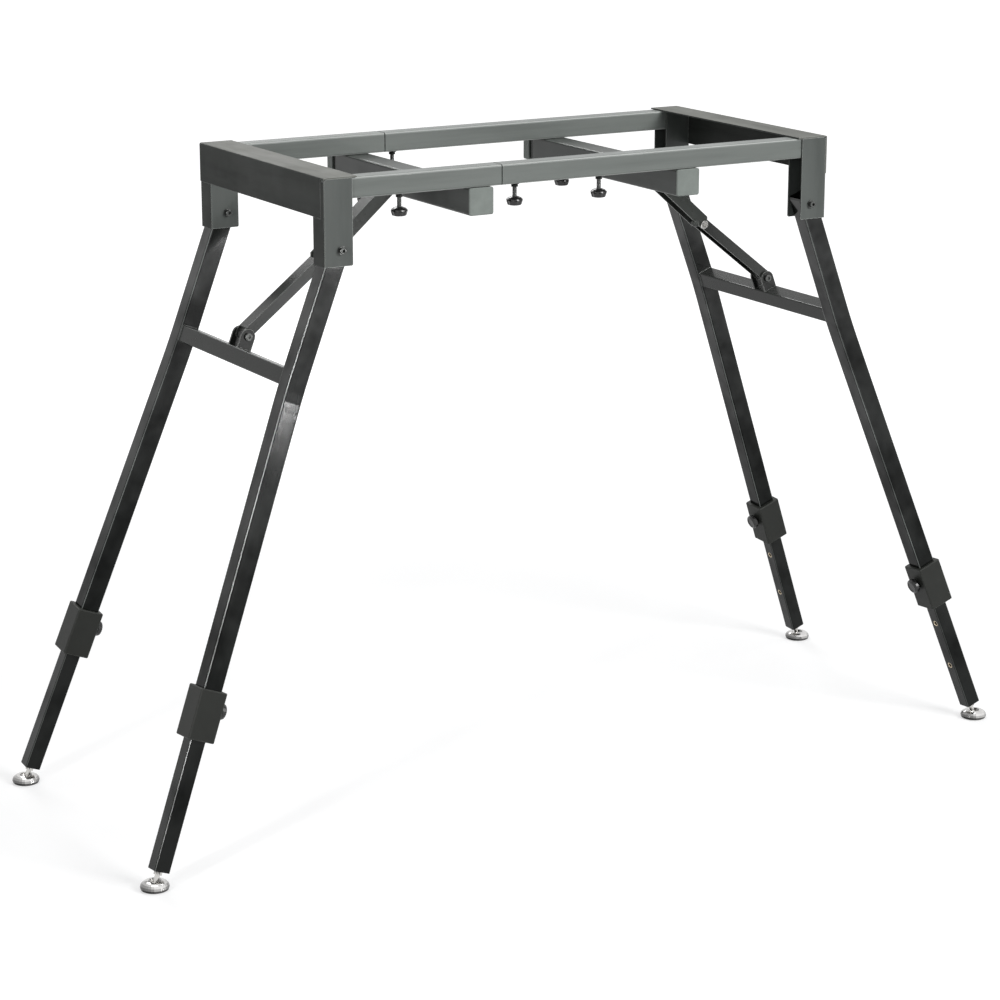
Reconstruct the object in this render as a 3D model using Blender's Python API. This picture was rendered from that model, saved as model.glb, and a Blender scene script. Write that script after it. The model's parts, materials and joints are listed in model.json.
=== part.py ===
"""Folding keyboard stand: a steel top frame on two folding, telescoping leg frames.

Metres, +Z up, +X to the right, the front faces -Y. The origin lies on the floor under the middle.
"""
import math

import bmesh
import bpy
from mathutils import Matrix, Vector

# Whole stand
HALF_LENGTH = 0.432
TOP_Z = 0.982
FRAME_Y = 0.1883
FOOT_REACH = 0.3045
SEAM = 0.0003
SWING_GAP = 0.0006

# Square tube of the rails and the upper legs
TUBE = 0.030
TUBE_WALL = 0.0022
TUBE_RADIUS = 0.003
SLIDE_GAP = 0.0004

# End brackets
PLATE_THICK = 0.002
PLATE_WIDTH = 0.0530
PLATE_OVERHANG = 0.0006
END_PLATE_DEPTH = 0.058
CORNER_NOTCH = 0.010
FOLD_RADIUS = 0.0025

# Posts
POST_WALL = 0.002
POST_WIDTH = 0.0455
POST_BELOW_PIVOT = 0.0232
POST_CORNER = 0.002
POST_TOP_RADIUS = 0.0065

# Top rails and their sleeves
FRONT_SEAM_X = -0.1425
REAR_SEAM_X = -0.1330
RAIL_SEAM_GAP = 0.0016
SLEEVE_START_X = -0.330
SLEEVE_END_X = 0.200
SLEEVE_WALL = 0.002
LEFT_SCREW_X = -0.303
MIDDLE_SCREW_X = -0.113
RIGHT_SCREW_X = 0.031

# Cross-supports and their arms
SUPPORT_X = 0.178
SUPPORT_SIZE = 0.040
SUPPORT_WALL = 0.002
SUPPORT_FRONT_Y = -0.203
SUPPORT_BACK_Y = 0.2135
SUPPORT_SCREW_Y = 0.157
FRONT_CAP_THICK = 0.003
FRONT_CAP_EDGE = 0.001
PLUG_DEPTH = 0.014
PLUG_WALL = 0.0018
ARM_FRONT_Y = -0.145
ARM_WALL = 0.002
REAR_CAP_Y = 0.227
REAR_CAP_DEPTH = 0.018
REAR_CAP_EDGE = 0.0015

# Thumbscrews
SCREW_RADIUS = 0.003
SCREW_GAP = 0.00035
BOSS_RADIUS = 0.0072
BOSS_TIP_RADIUS = 0.0050
BOSS_HEIGHT = 0.006
KNOB_RADIUS = 0.01225
KNOB_HEIGHT = 0.0132
KNOB_BOTTOM_DROP = 0.033
KNOB_FLUTE = 0.0009

# Leg pivots
PIVOT_DROP = 0.1034
PIVOT_RADIUS = 0.004
BOLT_GAP = 0.00035
BOLT_HEAD_RADIUS = 0.0050
BOLT_HEAD_HEIGHT = 0.006
WASHER_RADIUS = 0.0062
WASHER_HEIGHT = 0.0012
NUT_RADIUS = 0.0064
NUT_HEIGHT = 0.005
BOLT_TIP = 0.0015
BOLT_TIP_CHAMFER = 0.0005

# Upper legs
LEG_TOP_ABOVE_PIVOT = 0.014
LEG_TOP_CORNER = 0.004
KINK_DISTANCE = 0.2122
BEND_LENGTH = 0.060
BEND_STEPS = 4
KINK_ANGLE = math.radians(4.76)

# Leg collars and pull pins
COLLAR_SIZE = 0.042
COLLAR_START = 0.4345
COLLAR_LENGTH = 0.074
COLLAR_STOP_LENGTH = 0.013
COLLAR_RADIUS = 0.0025
COLLAR_EDGE = 0.001
PIN_TO_LEG_END = 0.0325
PIN_RADIUS = 0.0035
PIN_GAP = 0.0003
PIN_TIP = 0.0008
PIN_NECK_RADIUS = 0.008
PIN_NECK_HEIGHT = 0.0025
PIN_HEAD_RADIUS = 0.0121
PIN_HEAD_HEIGHT = 0.0095

# Lower legs
LOWER_TUBE = 0.0246
LOWER_WALL = 0.002
LOWER_RADIUS = 0.0025
LOWER_START = 0.318
HOLE_SPACING = 0.080
HOLE_COUNT = 3
LEG_END_ABOVE_BALL = 0.021
PLUG_THICK = 0.003
STEM_RADIUS = 0.0037
STEM_NUT_RADIUS = 0.0062
STEM_NUT_HEIGHT = 0.006
BALL_RADIUS = 0.0052
BALL_Z = 0.0070

# Foot pads
PAD_RADIUS = 0.0212
PAD_SOLE_RADIUS = 0.0175
PAD_WIDEST_Z = 0.0050
PAD_HEIGHT = 0.0138
PAD_CROWN_RADIUS = 0.0104
PAD_MOUTH_RADIUS = 0.0082
PAD_MOUTH_DROP = 0.0020
SOCKET_GAP = 0.0003

# Cross bars between the legs
BAR_SIZE = 0.025
BAR_WALL = 0.002
BAR_DISTANCE = 0.1945
BAR_RADIUS = 0.002

# Folding struts
STRUT_TOP_X = 0.217
STRUT_TOP_BELOW = 0.0012
STRUT_SAG = 0.004
STRUT_WALL = 0.002
STRUT_PLAY = 0.0005
STRUT_LUG_RADIUS = 0.0075
UPPER_LINK_BACK = 0.0135
UPPER_LINK_EDGE = 0.0065
UPPER_WEB_CUT = 0.013
LOWER_LINK_WIDTH = 0.0245
LOWER_LINK_BACK = 0.0105
LOWER_LINK_EDGE = 0.0055
LOWER_WEB_CUT = 0.003
STRUT_BOLT_RADIUS = 0.003
STRUT_HEAD_RADIUS = 0.0058
STRUT_HEAD_HEIGHT = 0.0035
MIDDLE_HEAD_RADIUS = 0.0066
CHEEK_THICK = 0.003
CHEEK_RADIUS = 0.009
BAR_CHEEK_RADIUS = 0.0115
BAR_PIVOT_HEIGHT = 0.0194
STOP_PIN_BACK = 0.0155
STOP_PIN_DROP = 0.0085
STOP_PIN_RADIUS = 0.0060
STOP_PIN_HEIGHT = 0.0080
STOP_PIN_NECK = 0.001
STOP_TAB_RADIUS = 0.0050
LINK_CORNER = 0.0025
WEB_HOLE_DISTANCE = 0.110
WEB_HOLE_RADIUS = 0.002

ROUND = 18
SMALL_ROUND = 16
KNOB_ROUND = 32
PAD_ROUND = 28
CORNER_STEPS = 3
BITE = 0.0005
CUT_MARGIN = 0.004

# Sizes that follow
RAIL_TOP_Z = TOP_Z - PLATE_THICK - SEAM
RAIL_Z = RAIL_TOP_Z - TUBE / 2
RAIL_BOTTOM_Z = RAIL_TOP_Z - TUBE
FOOT_X = HALF_LENGTH + FOOT_REACH
WEB_OUTER_X = HALF_LENGTH
WEB_INNER_X = WEB_OUTER_X - POST_WALL
POST_DEPTH = TUBE + 2 * (POST_WALL + SWING_GAP)
POST_FRONT_Y = FRAME_Y + POST_DEPTH / 2
PLATE_HALF_DEPTH = POST_FRONT_Y + PLATE_OVERHANG
END_PLATE_HALF = POST_FRONT_Y - CORNER_NOTCH
END_PLATE_BOTTOM_Z = TOP_Z - END_PLATE_DEPTH
PIVOT_Z = TOP_Z - PIVOT_DROP
POST_BOTTOM_Z = PIVOT_Z - POST_BELOW_PIVOT
SUPPORT_Z = RAIL_BOTTOM_Z - SEAM - SUPPORT_SIZE / 2
SUPPORT_BOTTOM_Z = SUPPORT_Z - SUPPORT_SIZE / 2
STRUT_TOP_Z = SUPPORT_Z - STRUT_TOP_BELOW
UPPER_LINK_WIDTH = LOWER_LINK_WIDTH + 2 * (STRUT_PLAY + STRUT_WALL)
HOLE_R = PIVOT_RADIUS + BOLT_GAP


def find_pivot_x():
    """The leg's outer face clears the web's lower edge when the leg stands."""
    pivot_x = WEB_INNER_X - TUBE
    for _ in range(20):
        splay = math.atan((FOOT_X - pivot_x) / (PIVOT_Z - BALL_Z))
        reach = TUBE / 2 / math.cos(splay) + POST_BELOW_PIVOT * math.tan(splay)
        pivot_x = WEB_INNER_X - reach - SEAM
    return pivot_x


PIVOT_X = find_pivot_x()
SPLAY = math.atan((FOOT_X - PIVOT_X) / (PIVOT_Z - BALL_Z))
BALL_DISTANCE = ((PIVOT_Z - BALL_Z) / math.cos(SPLAY) - KINK_DISTANCE) / math.cos(KINK_ANGLE)
LOWER_END = BALL_DISTANCE - LEG_END_ABOVE_BALL
COLLAR_END = COLLAR_START + COLLAR_LENGTH
UPPER_LEG_END = COLLAR_END - COLLAR_STOP_LENGTH
PIN_DISTANCE = UPPER_LEG_END - PIN_TO_LEG_END
BAR_LENGTH = 2 * (FRAME_Y - TUBE / 2 - SEAM)

COLOURS = {
    "frame_steel": ((0.17, 0.19, 0.18, 1.0), 0.6, 0.38),
    "plate_steel": ((0.26, 0.28, 0.27, 1.0), 0.4, 0.55),
    "leg_steel": ((0.035, 0.04, 0.038, 1.0), 0.5, 0.25),
    "collar_plastic": ((0.05, 0.052, 0.048, 1.0), 0.0, 0.5),
    "cap_plastic": ((0.12, 0.13, 0.125, 1.0), 0.0, 0.5),
    "knob_plastic": ((0.012, 0.012, 0.012, 1.0), 0.0, 0.25),
    "bolt_chrome": ((0.75, 0.75, 0.74, 1.0), 1.0, 0.15),
    "foot_chrome": ((0.8, 0.79, 0.78, 1.0), 1.0, 0.08),
}


def clear_scene():
    for obj in list(bpy.data.objects):
        bpy.data.objects.remove(obj, do_unlink=True)


def make_material(name):
    colour, metallic, roughness = COLOURS[name]
    material = bpy.data.materials.new(name)
    material.use_nodes = True
    shader = material.node_tree.nodes["Principled BSDF"]
    shader.inputs["Base Color"].default_value = colour
    shader.inputs["Metallic"].default_value = metallic
    shader.inputs["Roughness"].default_value = roughness
    material.diffuse_color = colour
    return material


def make_empty(name, parent=None, location=(0, 0, 0), rotation=(0, 0, 0)):
    empty = bpy.data.objects.new(name, None)
    bpy.context.scene.collection.objects.link(empty)
    empty.parent = parent
    empty.location = location
    empty.rotation_euler = rotation
    return empty


def new_mesh(name, mesh_parts):
    """One mesh object from one bmesh."""
    bmesh.ops.recalc_face_normals(mesh_parts, faces=mesh_parts.faces)
    mesh = bpy.data.meshes.new(name)
    mesh_parts.to_mesh(mesh)
    mesh_parts.free()
    obj = bpy.data.objects.new(name, mesh)
    bpy.context.scene.collection.objects.link(obj)
    return obj


def place(name, solid, material, parent=None, location=(0, 0, 0), rotation=(0, 0, 0)):
    obj = new_mesh(name, solid)
    obj.data.materials.append(material)
    obj.parent = parent
    obj.location = location
    obj.rotation_euler = rotation
    obj.data.shade_smooth()
    obj.data.set_sharp_from_angle(angle=math.radians(35))
    return obj


def combine(obj, solid, operation="DIFFERENCE"):
    """Cut one solid from the object, or weld it on, in the object's own frame."""
    tool = new_mesh(obj.name + "_" + operation.lower(), solid)
    tool.parent = obj
    tool.hide_render = True
    tool.display_type = "WIRE"
    modifier = obj.modifiers.new(operation.lower(), "BOOLEAN")
    modifier.operation = operation
    modifier.solver = "EXACT"
    modifier.object = tool
    return tool


def circle(radius, count=ROUND):
    turn = 2 * math.pi / count
    return [(radius * math.cos(turn * i), radius * math.sin(turn * i)) for i in range(count)]


def hexagon(radius, count=ROUND):
    """A hexagon with as many points as a circle, so that the two can be joined."""
    side = count // 6
    corners = circle(radius, 6)
    points = []
    for i in range(6):
        ax, ay = corners[i]
        bx, by = corners[(i + 1) % 6]
        for j in range(side):
            t = j / side
            points.append((ax + (bx - ax) * t, ay + (by - ay) * t))
    return points


def rounded_box(width, depth, radius, steps=CORNER_STEPS):
    points = []
    for corner in range(4):
        sx = (1, -1, -1, 1)[corner]
        sy = (1, 1, -1, -1)[corner]
        cx = sx * (width / 2 - radius)
        cy = sy * (depth / 2 - radius)
        for i in range(steps + 1):
            angle = math.pi / 2 * (corner + i / steps)
            points.append((cx + radius * math.cos(angle), cy + radius * math.sin(angle)))
    return points


def join_loops(solid, first, second):
    count = len(first)
    for i in range(count):
        j = (i + 1) % count
        solid.faces.new((first[i], first[j], second[j], second[i]))


def stack(levels):
    """A closed solid from level loops (z, points), capped at both ends."""
    solid = bmesh.new()
    rings = []
    for z, points in levels:
        rings.append([solid.verts.new((x, y, z)) for x, y in points])
    for lower, upper in zip(rings, rings[1:]):
        join_loops(solid, lower, upper)
    solid.faces.new(rings[0])
    solid.faces.new(rings[-1])
    return solid


def pipe(outer_levels, inner_levels):
    """A closed tube wall: outer and inner level loops joined at both ends."""
    solid = bmesh.new()
    sides = []
    for levels in (outer_levels, inner_levels):
        rings = [[solid.verts.new(point) for point in level] for level in levels]
        for lower, upper in zip(rings, rings[1:]):
            join_loops(solid, lower, upper)
        sides.append(rings)
    outer, inner = sides
    join_loops(solid, outer[0], inner[0])
    join_loops(solid, outer[-1], inner[-1])
    return solid


def square_tube(width, wall, radius, start, end, depth=None):
    """A straight tube along Z from start to end."""
    depth = width if depth is None else depth
    outer = rounded_box(width, depth, radius)
    inner = rounded_box(width - 2 * wall, depth - 2 * wall, max(radius - wall, wall / 2))
    return pipe(
        [[(x, y, z) for x, y in outer] for z in (start, end)],
        [[(x, y, z) for x, y in inner] for z in (start, end)],
    )


def prism(points, thickness_axis, start, end):
    """A flat outline pushed along X, Y or Z. The outline lies in the other two axes."""
    solid = bmesh.new()
    order = {"X": lambda a, b, c: (c, a, b), "Y": lambda a, b, c: (a, c, b),
             "Z": lambda a, b, c: (a, b, c)}[thickness_axis]
    near = [solid.verts.new(order(a, b, start)) for a, b in points]
    far = [solid.verts.new(order(a, b, end)) for a, b in points]
    join_loops(solid, near, far)
    solid.faces.new(near)
    solid.faces.new(far)
    return solid


def block(low, high):
    points = [(low[0], low[1]), (high[0], low[1]), (high[0], high[1]), (low[0], high[1])]
    return prism(points, "Z", low[2], high[2])


def cylinder(radius, start, end, axis="Z", centre=(0, 0), count=SMALL_ROUND):
    points = [(centre[0] + x, centre[1] + y) for x, y in circle(radius, count)]
    return prism(points, axis, start, end)


def turned(solid, rotation):
    solid.transform(rotation)
    return solid


def along_x(solid):
    """Z becomes X."""
    return turned(solid, Matrix.Rotation(math.pi / 2, 4, "Y"))


def along_y(solid):
    """Z becomes Y."""
    return turned(solid, Matrix.Rotation(-math.pi / 2, 4, "X"))


def facing_front(solid):
    """Z becomes -Y."""
    return turned(solid, Matrix.Rotation(math.pi / 2, 4, "X"))


def bolt(shaft_radius, grip_start, grip_end, head_radius, head_height, washer, nut, count=ROUND):
    """A socket bolt along Z: its nut below grip_start, its head above grip_end."""
    shaft = circle(shaft_radius, count)
    levels = []
    if nut:
        nut_radius, nut_height = nut
        low = grip_start - SEAM - nut_height
        levels += [(low - BOLT_TIP, circle(shaft_radius * 0.8, count)),
                   (low - BOLT_TIP + BOLT_TIP_CHAMFER, shaft)]
        levels += [(low, shaft), (low, hexagon(nut_radius, count))]
        levels += [(low + nut_height, hexagon(nut_radius, count)), (low + nut_height, shaft)]
    else:
        levels += [(grip_start, shaft)]
    top = grip_end + SEAM
    levels += [(top, shaft)]
    if washer:
        washer_radius, washer_height = washer
        levels += [(top, circle(washer_radius, count)), (top + washer_height, circle(washer_radius, count))]
        top += washer_height
    edge = head_height * 0.15
    levels += [(top, circle(head_radius, count)), (top + head_height - edge, circle(head_radius, count))]
    levels += [(top + head_height, circle(head_radius - edge, count))]
    socket = head_radius * 0.5
    levels += [(top + head_height, hexagon(socket, count)), (top + head_height * 0.4, hexagon(socket, count))]
    return stack(levels)


def end_bracket(side, half, steel):
    """The angle at one end: a top plate with its end plate folded down.

    The end plate stops short at one corner, where the post's web shows.
    """
    outer = HALF_LENGTH
    inner = HALF_LENGTH - PLATE_WIDTH
    points = [(inner, TOP_Z - PLATE_THICK), (inner, TOP_Z)]
    for i in range(5):
        angle = math.pi / 2 * (1 - i / 4)
        points.append((outer - FOLD_RADIUS + FOLD_RADIUS * math.cos(angle),
                       TOP_Z - FOLD_RADIUS + FOLD_RADIUS * math.sin(angle)))
    points += [(outer, END_PLATE_BOTTOM_Z), (outer - PLATE_THICK, END_PLATE_BOTTOM_Z)]
    points += [(outer - PLATE_THICK, TOP_Z - PLATE_THICK)]
    bracket = place(side + "_end_bracket", prism(points, "Y", -PLATE_HALF_DEPTH, PLATE_HALF_DEPTH),
                    steel, half)
    far = PLATE_HALF_DEPTH + CUT_MARGIN
    combine(bracket, block((outer - PLATE_THICK - BITE, END_PLATE_HALF, END_PLATE_BOTTOM_Z - CUT_MARGIN),
                           (outer + BITE, far, TOP_Z - FOLD_RADIUS)))


def post(name, half, y_sign, steel):
    """A channel, open towards the middle, that holds a rail's end and a leg's top."""
    y = POST_DEPTH / 2
    x0 = WEB_OUTER_X - POST_WIDTH
    r = POST_WALL
    points = [(x0, y - POST_WALL), (x0, y), (WEB_OUTER_X - r, y), (WEB_OUTER_X - r * 0.3, y - r * 0.3)]
    points += [(WEB_OUTER_X, y - r), (WEB_OUTER_X, r - y), (WEB_OUTER_X - r * 0.3, r * 0.3 - y)]
    points += [(WEB_OUTER_X - r, -y), (x0, -y), (x0, POST_WALL - y)]
    points += [(WEB_INNER_X, POST_WALL - y), (WEB_INNER_X, y - POST_WALL)]
    channel = place(name, prism(points, "Z", POST_BOTTOM_Z, RAIL_TOP_Z), steel, half,
                    (0, y_sign * FRAME_Y, 0))
    combine(channel, cylinder(HOLE_R, -y - CUT_MARGIN, y + CUT_MARGIN, "Y", (PIVOT_X, PIVOT_Z)))
    corner = [(x0 - BITE, POST_BOTTOM_Z - BITE), (x0 + POST_CORNER, POST_BOTTOM_Z - BITE)]
    corner += [(x0 - BITE, POST_BOTTOM_Z + POST_CORNER)]
    combine(channel, prism(corner, "Y", -y - CUT_MARGIN, y + CUT_MARGIN))
    through = y + CUT_MARGIN
    lap = (-through, END_PLATE_HALF - FRAME_Y + SEAM) if y_sign > 0 else (-through, through)
    combine(channel, block((HALF_LENGTH - PLATE_THICK - SEAM, lap[0], END_PLATE_BOTTOM_Z - SEAM),
                           (WEB_OUTER_X + CUT_MARGIN, lap[1], RAIL_TOP_Z + CUT_MARGIN)))
    centre_x, centre_z = WEB_OUTER_X - POST_TOP_RADIUS, RAIL_TOP_Z - POST_TOP_RADIUS
    shoulder = [(WEB_OUTER_X + CUT_MARGIN, RAIL_TOP_Z + CUT_MARGIN)]
    shoulder += [(centre_x, RAIL_TOP_Z + CUT_MARGIN)]
    for i in range(5):
        angle = math.pi / 2 * (1 - i / 4)
        shoulder.append((centre_x + POST_TOP_RADIUS * math.cos(angle),
                         centre_z + POST_TOP_RADIUS * math.sin(angle)))
    shoulder += [(WEB_OUTER_X + CUT_MARGIN, centre_z)]
    combine(channel, prism(shoulder, "Y", -y - CUT_MARGIN, y + CUT_MARGIN))


def pivot_bolt(name, half, y_sign, head_sign, chrome):
    """The bolt that a leg turns on. Its head faces the front of the stand."""
    grip = POST_DEPTH / 2
    solid = bolt(PIVOT_RADIUS, -grip, grip, BOLT_HEAD_RADIUS, BOLT_HEAD_HEIGHT,
                 (WASHER_RADIUS, WASHER_HEIGHT), (NUT_RADIUS, NUT_HEIGHT))
    solid = facing_front(solid) if head_sign < 0 else along_y(solid)
    place(name, solid, chrome, half, (PIVOT_X, y_sign * FRAME_Y, PIVOT_Z))


def weld_boss(obj, location):
    """The threaded boss under a tube, and the hole through it and the tube's lower wall."""
    x, y, z = location
    boss = stack([(-BOSS_HEIGHT, circle(BOSS_TIP_RADIUS)), (-BOSS_HEIGHT / 2, circle(BOSS_TIP_RADIUS)),
                  (-BOSS_HEIGHT / 4, circle(BOSS_RADIUS)), (BITE, circle(BOSS_RADIUS))])
    boss.transform(Matrix.Translation(location))
    combine(obj, boss, "UNION")
    hole = cylinder(SCREW_RADIUS + SCREW_GAP, z - BOSS_HEIGHT - CUT_MARGIN, z + CUT_MARGIN, "Z", (x, y))
    combine(obj, hole)


def rail(name, start, end, y, screws, steel):
    solid = along_x(square_tube(TUBE, TUBE_WALL, TUBE_RADIUS, start, end))
    tube = place(name, solid, steel, None, (0, y, RAIL_Z))
    for x in screws:
        weld_boss(tube, (x, 0, -TUBE / 2))
    return tube


def sleeve(name, y, steel):
    size = TUBE - 2 * (TUBE_WALL + SLIDE_GAP)
    solid = along_x(square_tube(size, SLEEVE_WALL, TUBE_WALL / 2, SLEEVE_START_X, SLEEVE_END_X))
    place(name, solid, steel, None, (0, y, RAIL_Z))


def thumbscrew(name, location, tube_wall, plastic):
    """A fluted knob on a threaded stem. The location is on the tube's lower face."""
    reach = tube_wall + SLIDE_GAP - SEAM
    bottom = -KNOB_BOTTOM_DROP
    top = bottom + KNOB_HEIGHT
    count = KNOB_ROUND
    fluted = []
    for i in range(count):
        angle = 2 * math.pi * i / count
        radius = KNOB_RADIUS - KNOB_FLUTE * (1 if i % 4 in (0, 1) else 0)
        fluted.append((radius * math.cos(angle), radius * math.sin(angle)))
    stem = circle(SCREW_RADIUS, count)
    skirt = [(x * 0.84, y * 0.84) for x, y in fluted]
    height = KNOB_HEIGHT
    levels = [(bottom, circle(KNOB_RADIUS * 0.66, count)), (bottom + height * 0.06, skirt)]
    levels += [(bottom + height * 0.50, fluted), (bottom + height * 0.53, circle(KNOB_RADIUS * 0.95, count))]
    levels += [(bottom + height * 0.57, circle(KNOB_RADIUS, count))]
    for share, ratio in ((0.70, 0.96), (0.86, 0.76), (1.0, 0.38)):
        levels.append((bottom + height * share, circle(KNOB_RADIUS * ratio, count)))
    levels += [(top, stem), (reach, stem)]
    place(name, stack(levels), plastic, None, location)


def cheek_outline(pivot, root, half_height):
    """A lug in the (a, b) plane, from its root to a round end about its pivot."""
    points = [(root, pivot[1] - half_height), (root, pivot[1] + half_height)]
    for i in range(9):
        angle = math.pi / 2 - math.pi * i / 8
        points.append((pivot[0] + half_height * math.cos(angle), pivot[1] + half_height * math.sin(angle)))
    return points


def cross_support(name, half, y_sign, steel):
    """The square tube under the rails, with its screw boss and the strut's clevis."""
    front, back = SUPPORT_FRONT_Y * y_sign, SUPPORT_BACK_Y * y_sign
    solid = along_y(square_tube(SUPPORT_SIZE, SUPPORT_WALL, TUBE_RADIUS, min(front, back), max(front, back)))
    tube = place(name, solid, steel, half, (SUPPORT_X, 0, SUPPORT_Z))
    weld_boss(tube, (0, SUPPORT_SCREW_Y * y_sign, -SUPPORT_SIZE / 2))
    pivot = (STRUT_TOP_X - SUPPORT_X, STRUT_TOP_Z - SUPPORT_Z)
    inner = UPPER_LINK_WIDTH / 2 + STRUT_PLAY
    for low in (inner, -inner - CHEEK_THICK):
        outline = cheek_outline(pivot, SUPPORT_SIZE / 2 - BITE, CHEEK_RADIUS)
        combine(tube, prism(outline, "Y", low, low + CHEEK_THICK), "UNION")
    reach = inner + CHEEK_THICK + CUT_MARGIN
    combine(tube, cylinder(STRUT_BOLT_RADIUS + BOLT_GAP, -reach, reach, "Y", pivot))


def front_cap(name, half, y_sign, plastic):
    """The plastic cap in the front end of a cross-support, with its hollow plug."""
    outer = rounded_box(SUPPORT_SIZE, SUPPORT_SIZE, TUBE_RADIUS)
    face = SUPPORT_SIZE - 2 * FRONT_CAP_EDGE
    chamfer = rounded_box(face, face, TUBE_RADIUS * 0.7)
    plug_size = SUPPORT_SIZE - 2 * (SUPPORT_WALL + SEAM)
    plug = rounded_box(plug_size, plug_size, SUPPORT_WALL)
    hollow = rounded_box(plug_size - 2 * PLUG_WALL, plug_size - 2 * PLUG_WALL, PLUG_WALL)
    thick = FRONT_CAP_THICK
    levels = [(-thick, chamfer), (-thick + FRONT_CAP_EDGE, outer), (-SEAM, outer), (-SEAM, plug)]
    levels += [(PLUG_DEPTH, plug), (PLUG_DEPTH, hollow), (-SEAM, hollow)]
    solid = stack(levels)
    solid = along_y(solid) if y_sign > 0 else facing_front(solid)
    place(name, solid, plastic, half, (SUPPORT_X, SUPPORT_FRONT_Y * y_sign, SUPPORT_Z))


def arm(name, half, y_sign, steel):
    """The inner tube that slides out to the back, closed by a thick cap."""
    size = SUPPORT_SIZE - 2 * (SUPPORT_WALL + SLIDE_GAP)
    bar = rounded_box(size, size, TUBE_RADIUS - SUPPORT_WALL / 2)
    bore = rounded_box(size - 2 * ARM_WALL, size - 2 * ARM_WALL, ARM_WALL / 2)
    cap = rounded_box(SUPPORT_SIZE, SUPPORT_SIZE, TUBE_RADIUS)
    face = SUPPORT_SIZE - 2 * REAR_CAP_EDGE
    rim = rounded_box(face, face, TUBE_RADIUS * 0.7)
    end = REAR_CAP_Y + REAR_CAP_DEPTH
    levels = [(REAR_CAP_Y, bore), (ARM_FRONT_Y, bore), (ARM_FRONT_Y, bar), (REAR_CAP_Y, bar)]
    levels += [(REAR_CAP_Y, cap), (end - REAR_CAP_EDGE, cap), (end, rim)]
    solid = stack(levels)
    solid = along_y(solid) if y_sign > 0 else facing_front(solid)
    place(name, solid, steel, half, (SUPPORT_X, 0, SUPPORT_Z))


def bend_stations(y_sign):
    """Points down the upper leg's middle line, each with how far the tube has turned there.

    The arc touches both straight lines, which meet at the kink.
    """
    radius = BEND_LENGTH / KINK_ANGLE
    tangent = radius * math.tan(KINK_ANGLE / 2)
    stations = [(Vector((0, 0, LEG_TOP_ABOVE_PIVOT)), 0.0)]
    for i in range(BEND_STEPS + 1):
        angle = KINK_ANGLE * i / BEND_STEPS
        side = radius * (1 - math.cos(angle))
        down = KINK_DISTANCE - tangent + radius * math.sin(angle)
        stations.append((Vector((0, y_sign * side, -down)), angle))
    side = math.sin(KINK_ANGLE) * UPPER_LEG_END
    down = KINK_DISTANCE + math.cos(KINK_ANGLE) * UPPER_LEG_END
    stations.append((Vector((0, y_sign * side, -down)), KINK_ANGLE))
    return stations


def upper_leg(name, frame, y_sign, steel):
    """The upper tube: straight to the bend, then leaning outwards into the collar."""
    outer = rounded_box(TUBE, TUBE, TUBE_RADIUS)
    inner_size = TUBE - 2 * TUBE_WALL
    inner = rounded_box(inner_size, inner_size, TUBE_WALL / 2)
    sine, cosine = math.sin(KINK_ANGLE), math.cos(KINK_ANGLE)
    stations = bend_stations(y_sign)

    def section(points):
        levels = []
        for centre, angle in stations:
            across = Vector((0, math.cos(angle), y_sign * math.sin(angle)))
            levels.append([Vector((x, 0, 0)) + centre + across * y for x, y in points])
        return levels

    leg = place(name, pipe(section(outer), section(inner)), steel, frame, (0, y_sign * FRAME_Y, 0))
    combine(leg, cylinder(HOLE_R, -TUBE, TUBE, "Y", (0, 0)))
    top, half = LEG_TOP_ABOVE_PIVOT, TUBE / 2
    for sign in (-1, 1):
        cut = [(sign * (half + BITE), top + BITE), (sign * (half + BITE), top - LEG_TOP_CORNER)]
        cut += [(sign * (half - LEG_TOP_CORNER), top + BITE)]
        combine(leg, prism(cut, "Y", -TUBE, TUBE))
    point = Vector((0, y_sign * sine * PIN_DISTANCE, -KINK_DISTANCE - cosine * PIN_DISTANCE))
    hole = cylinder(PIN_RADIUS + PIN_GAP, -TUBE, -PIN_GAP, "X")
    hole.transform(Matrix.Translation(point) @ Matrix.Rotation(y_sign * KINK_ANGLE, 4, "X"))
    combine(leg, hole)


def collar(name, axis, plastic):
    """The sleeve on the upper tube's end that guides the lower tube and holds the pin."""
    outer = rounded_box(COLLAR_SIZE, COLLAR_SIZE, COLLAR_RADIUS)
    face = COLLAR_SIZE - 2 * COLLAR_EDGE
    rim = rounded_box(face, face, COLLAR_RADIUS * 0.8)
    wide = rounded_box(TUBE + 2 * SEAM, TUBE + 2 * SEAM, TUBE_RADIUS)
    tight_size = LOWER_TUBE + 2 * SLIDE_GAP
    tight = rounded_box(tight_size, tight_size, LOWER_RADIUS)
    top, bottom = COLLAR_LENGTH / 2, -COLLAR_LENGTH / 2
    step = bottom + COLLAR_STOP_LENGTH - SEAM
    outer_levels = [(bottom, rim), (bottom + COLLAR_EDGE, outer), (top - COLLAR_EDGE, outer), (top, rim)]
    inner_levels = [(bottom, tight), (step, tight), (step, wide), (top, wide)]
    solid = pipe([[(x, y, z) for x, y in points] for z, points in outer_levels],
                 [[(x, y, z) for x, y in points] for z, points in inner_levels])
    centre = (COLLAR_START + COLLAR_END) / 2
    body = place(name, solid, plastic, axis, (0, 0, -centre))
    combine(body, cylinder(PIN_RADIUS + PIN_GAP, -COLLAR_SIZE, -PIN_GAP, "X", (0, centre - PIN_DISTANCE)))


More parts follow.
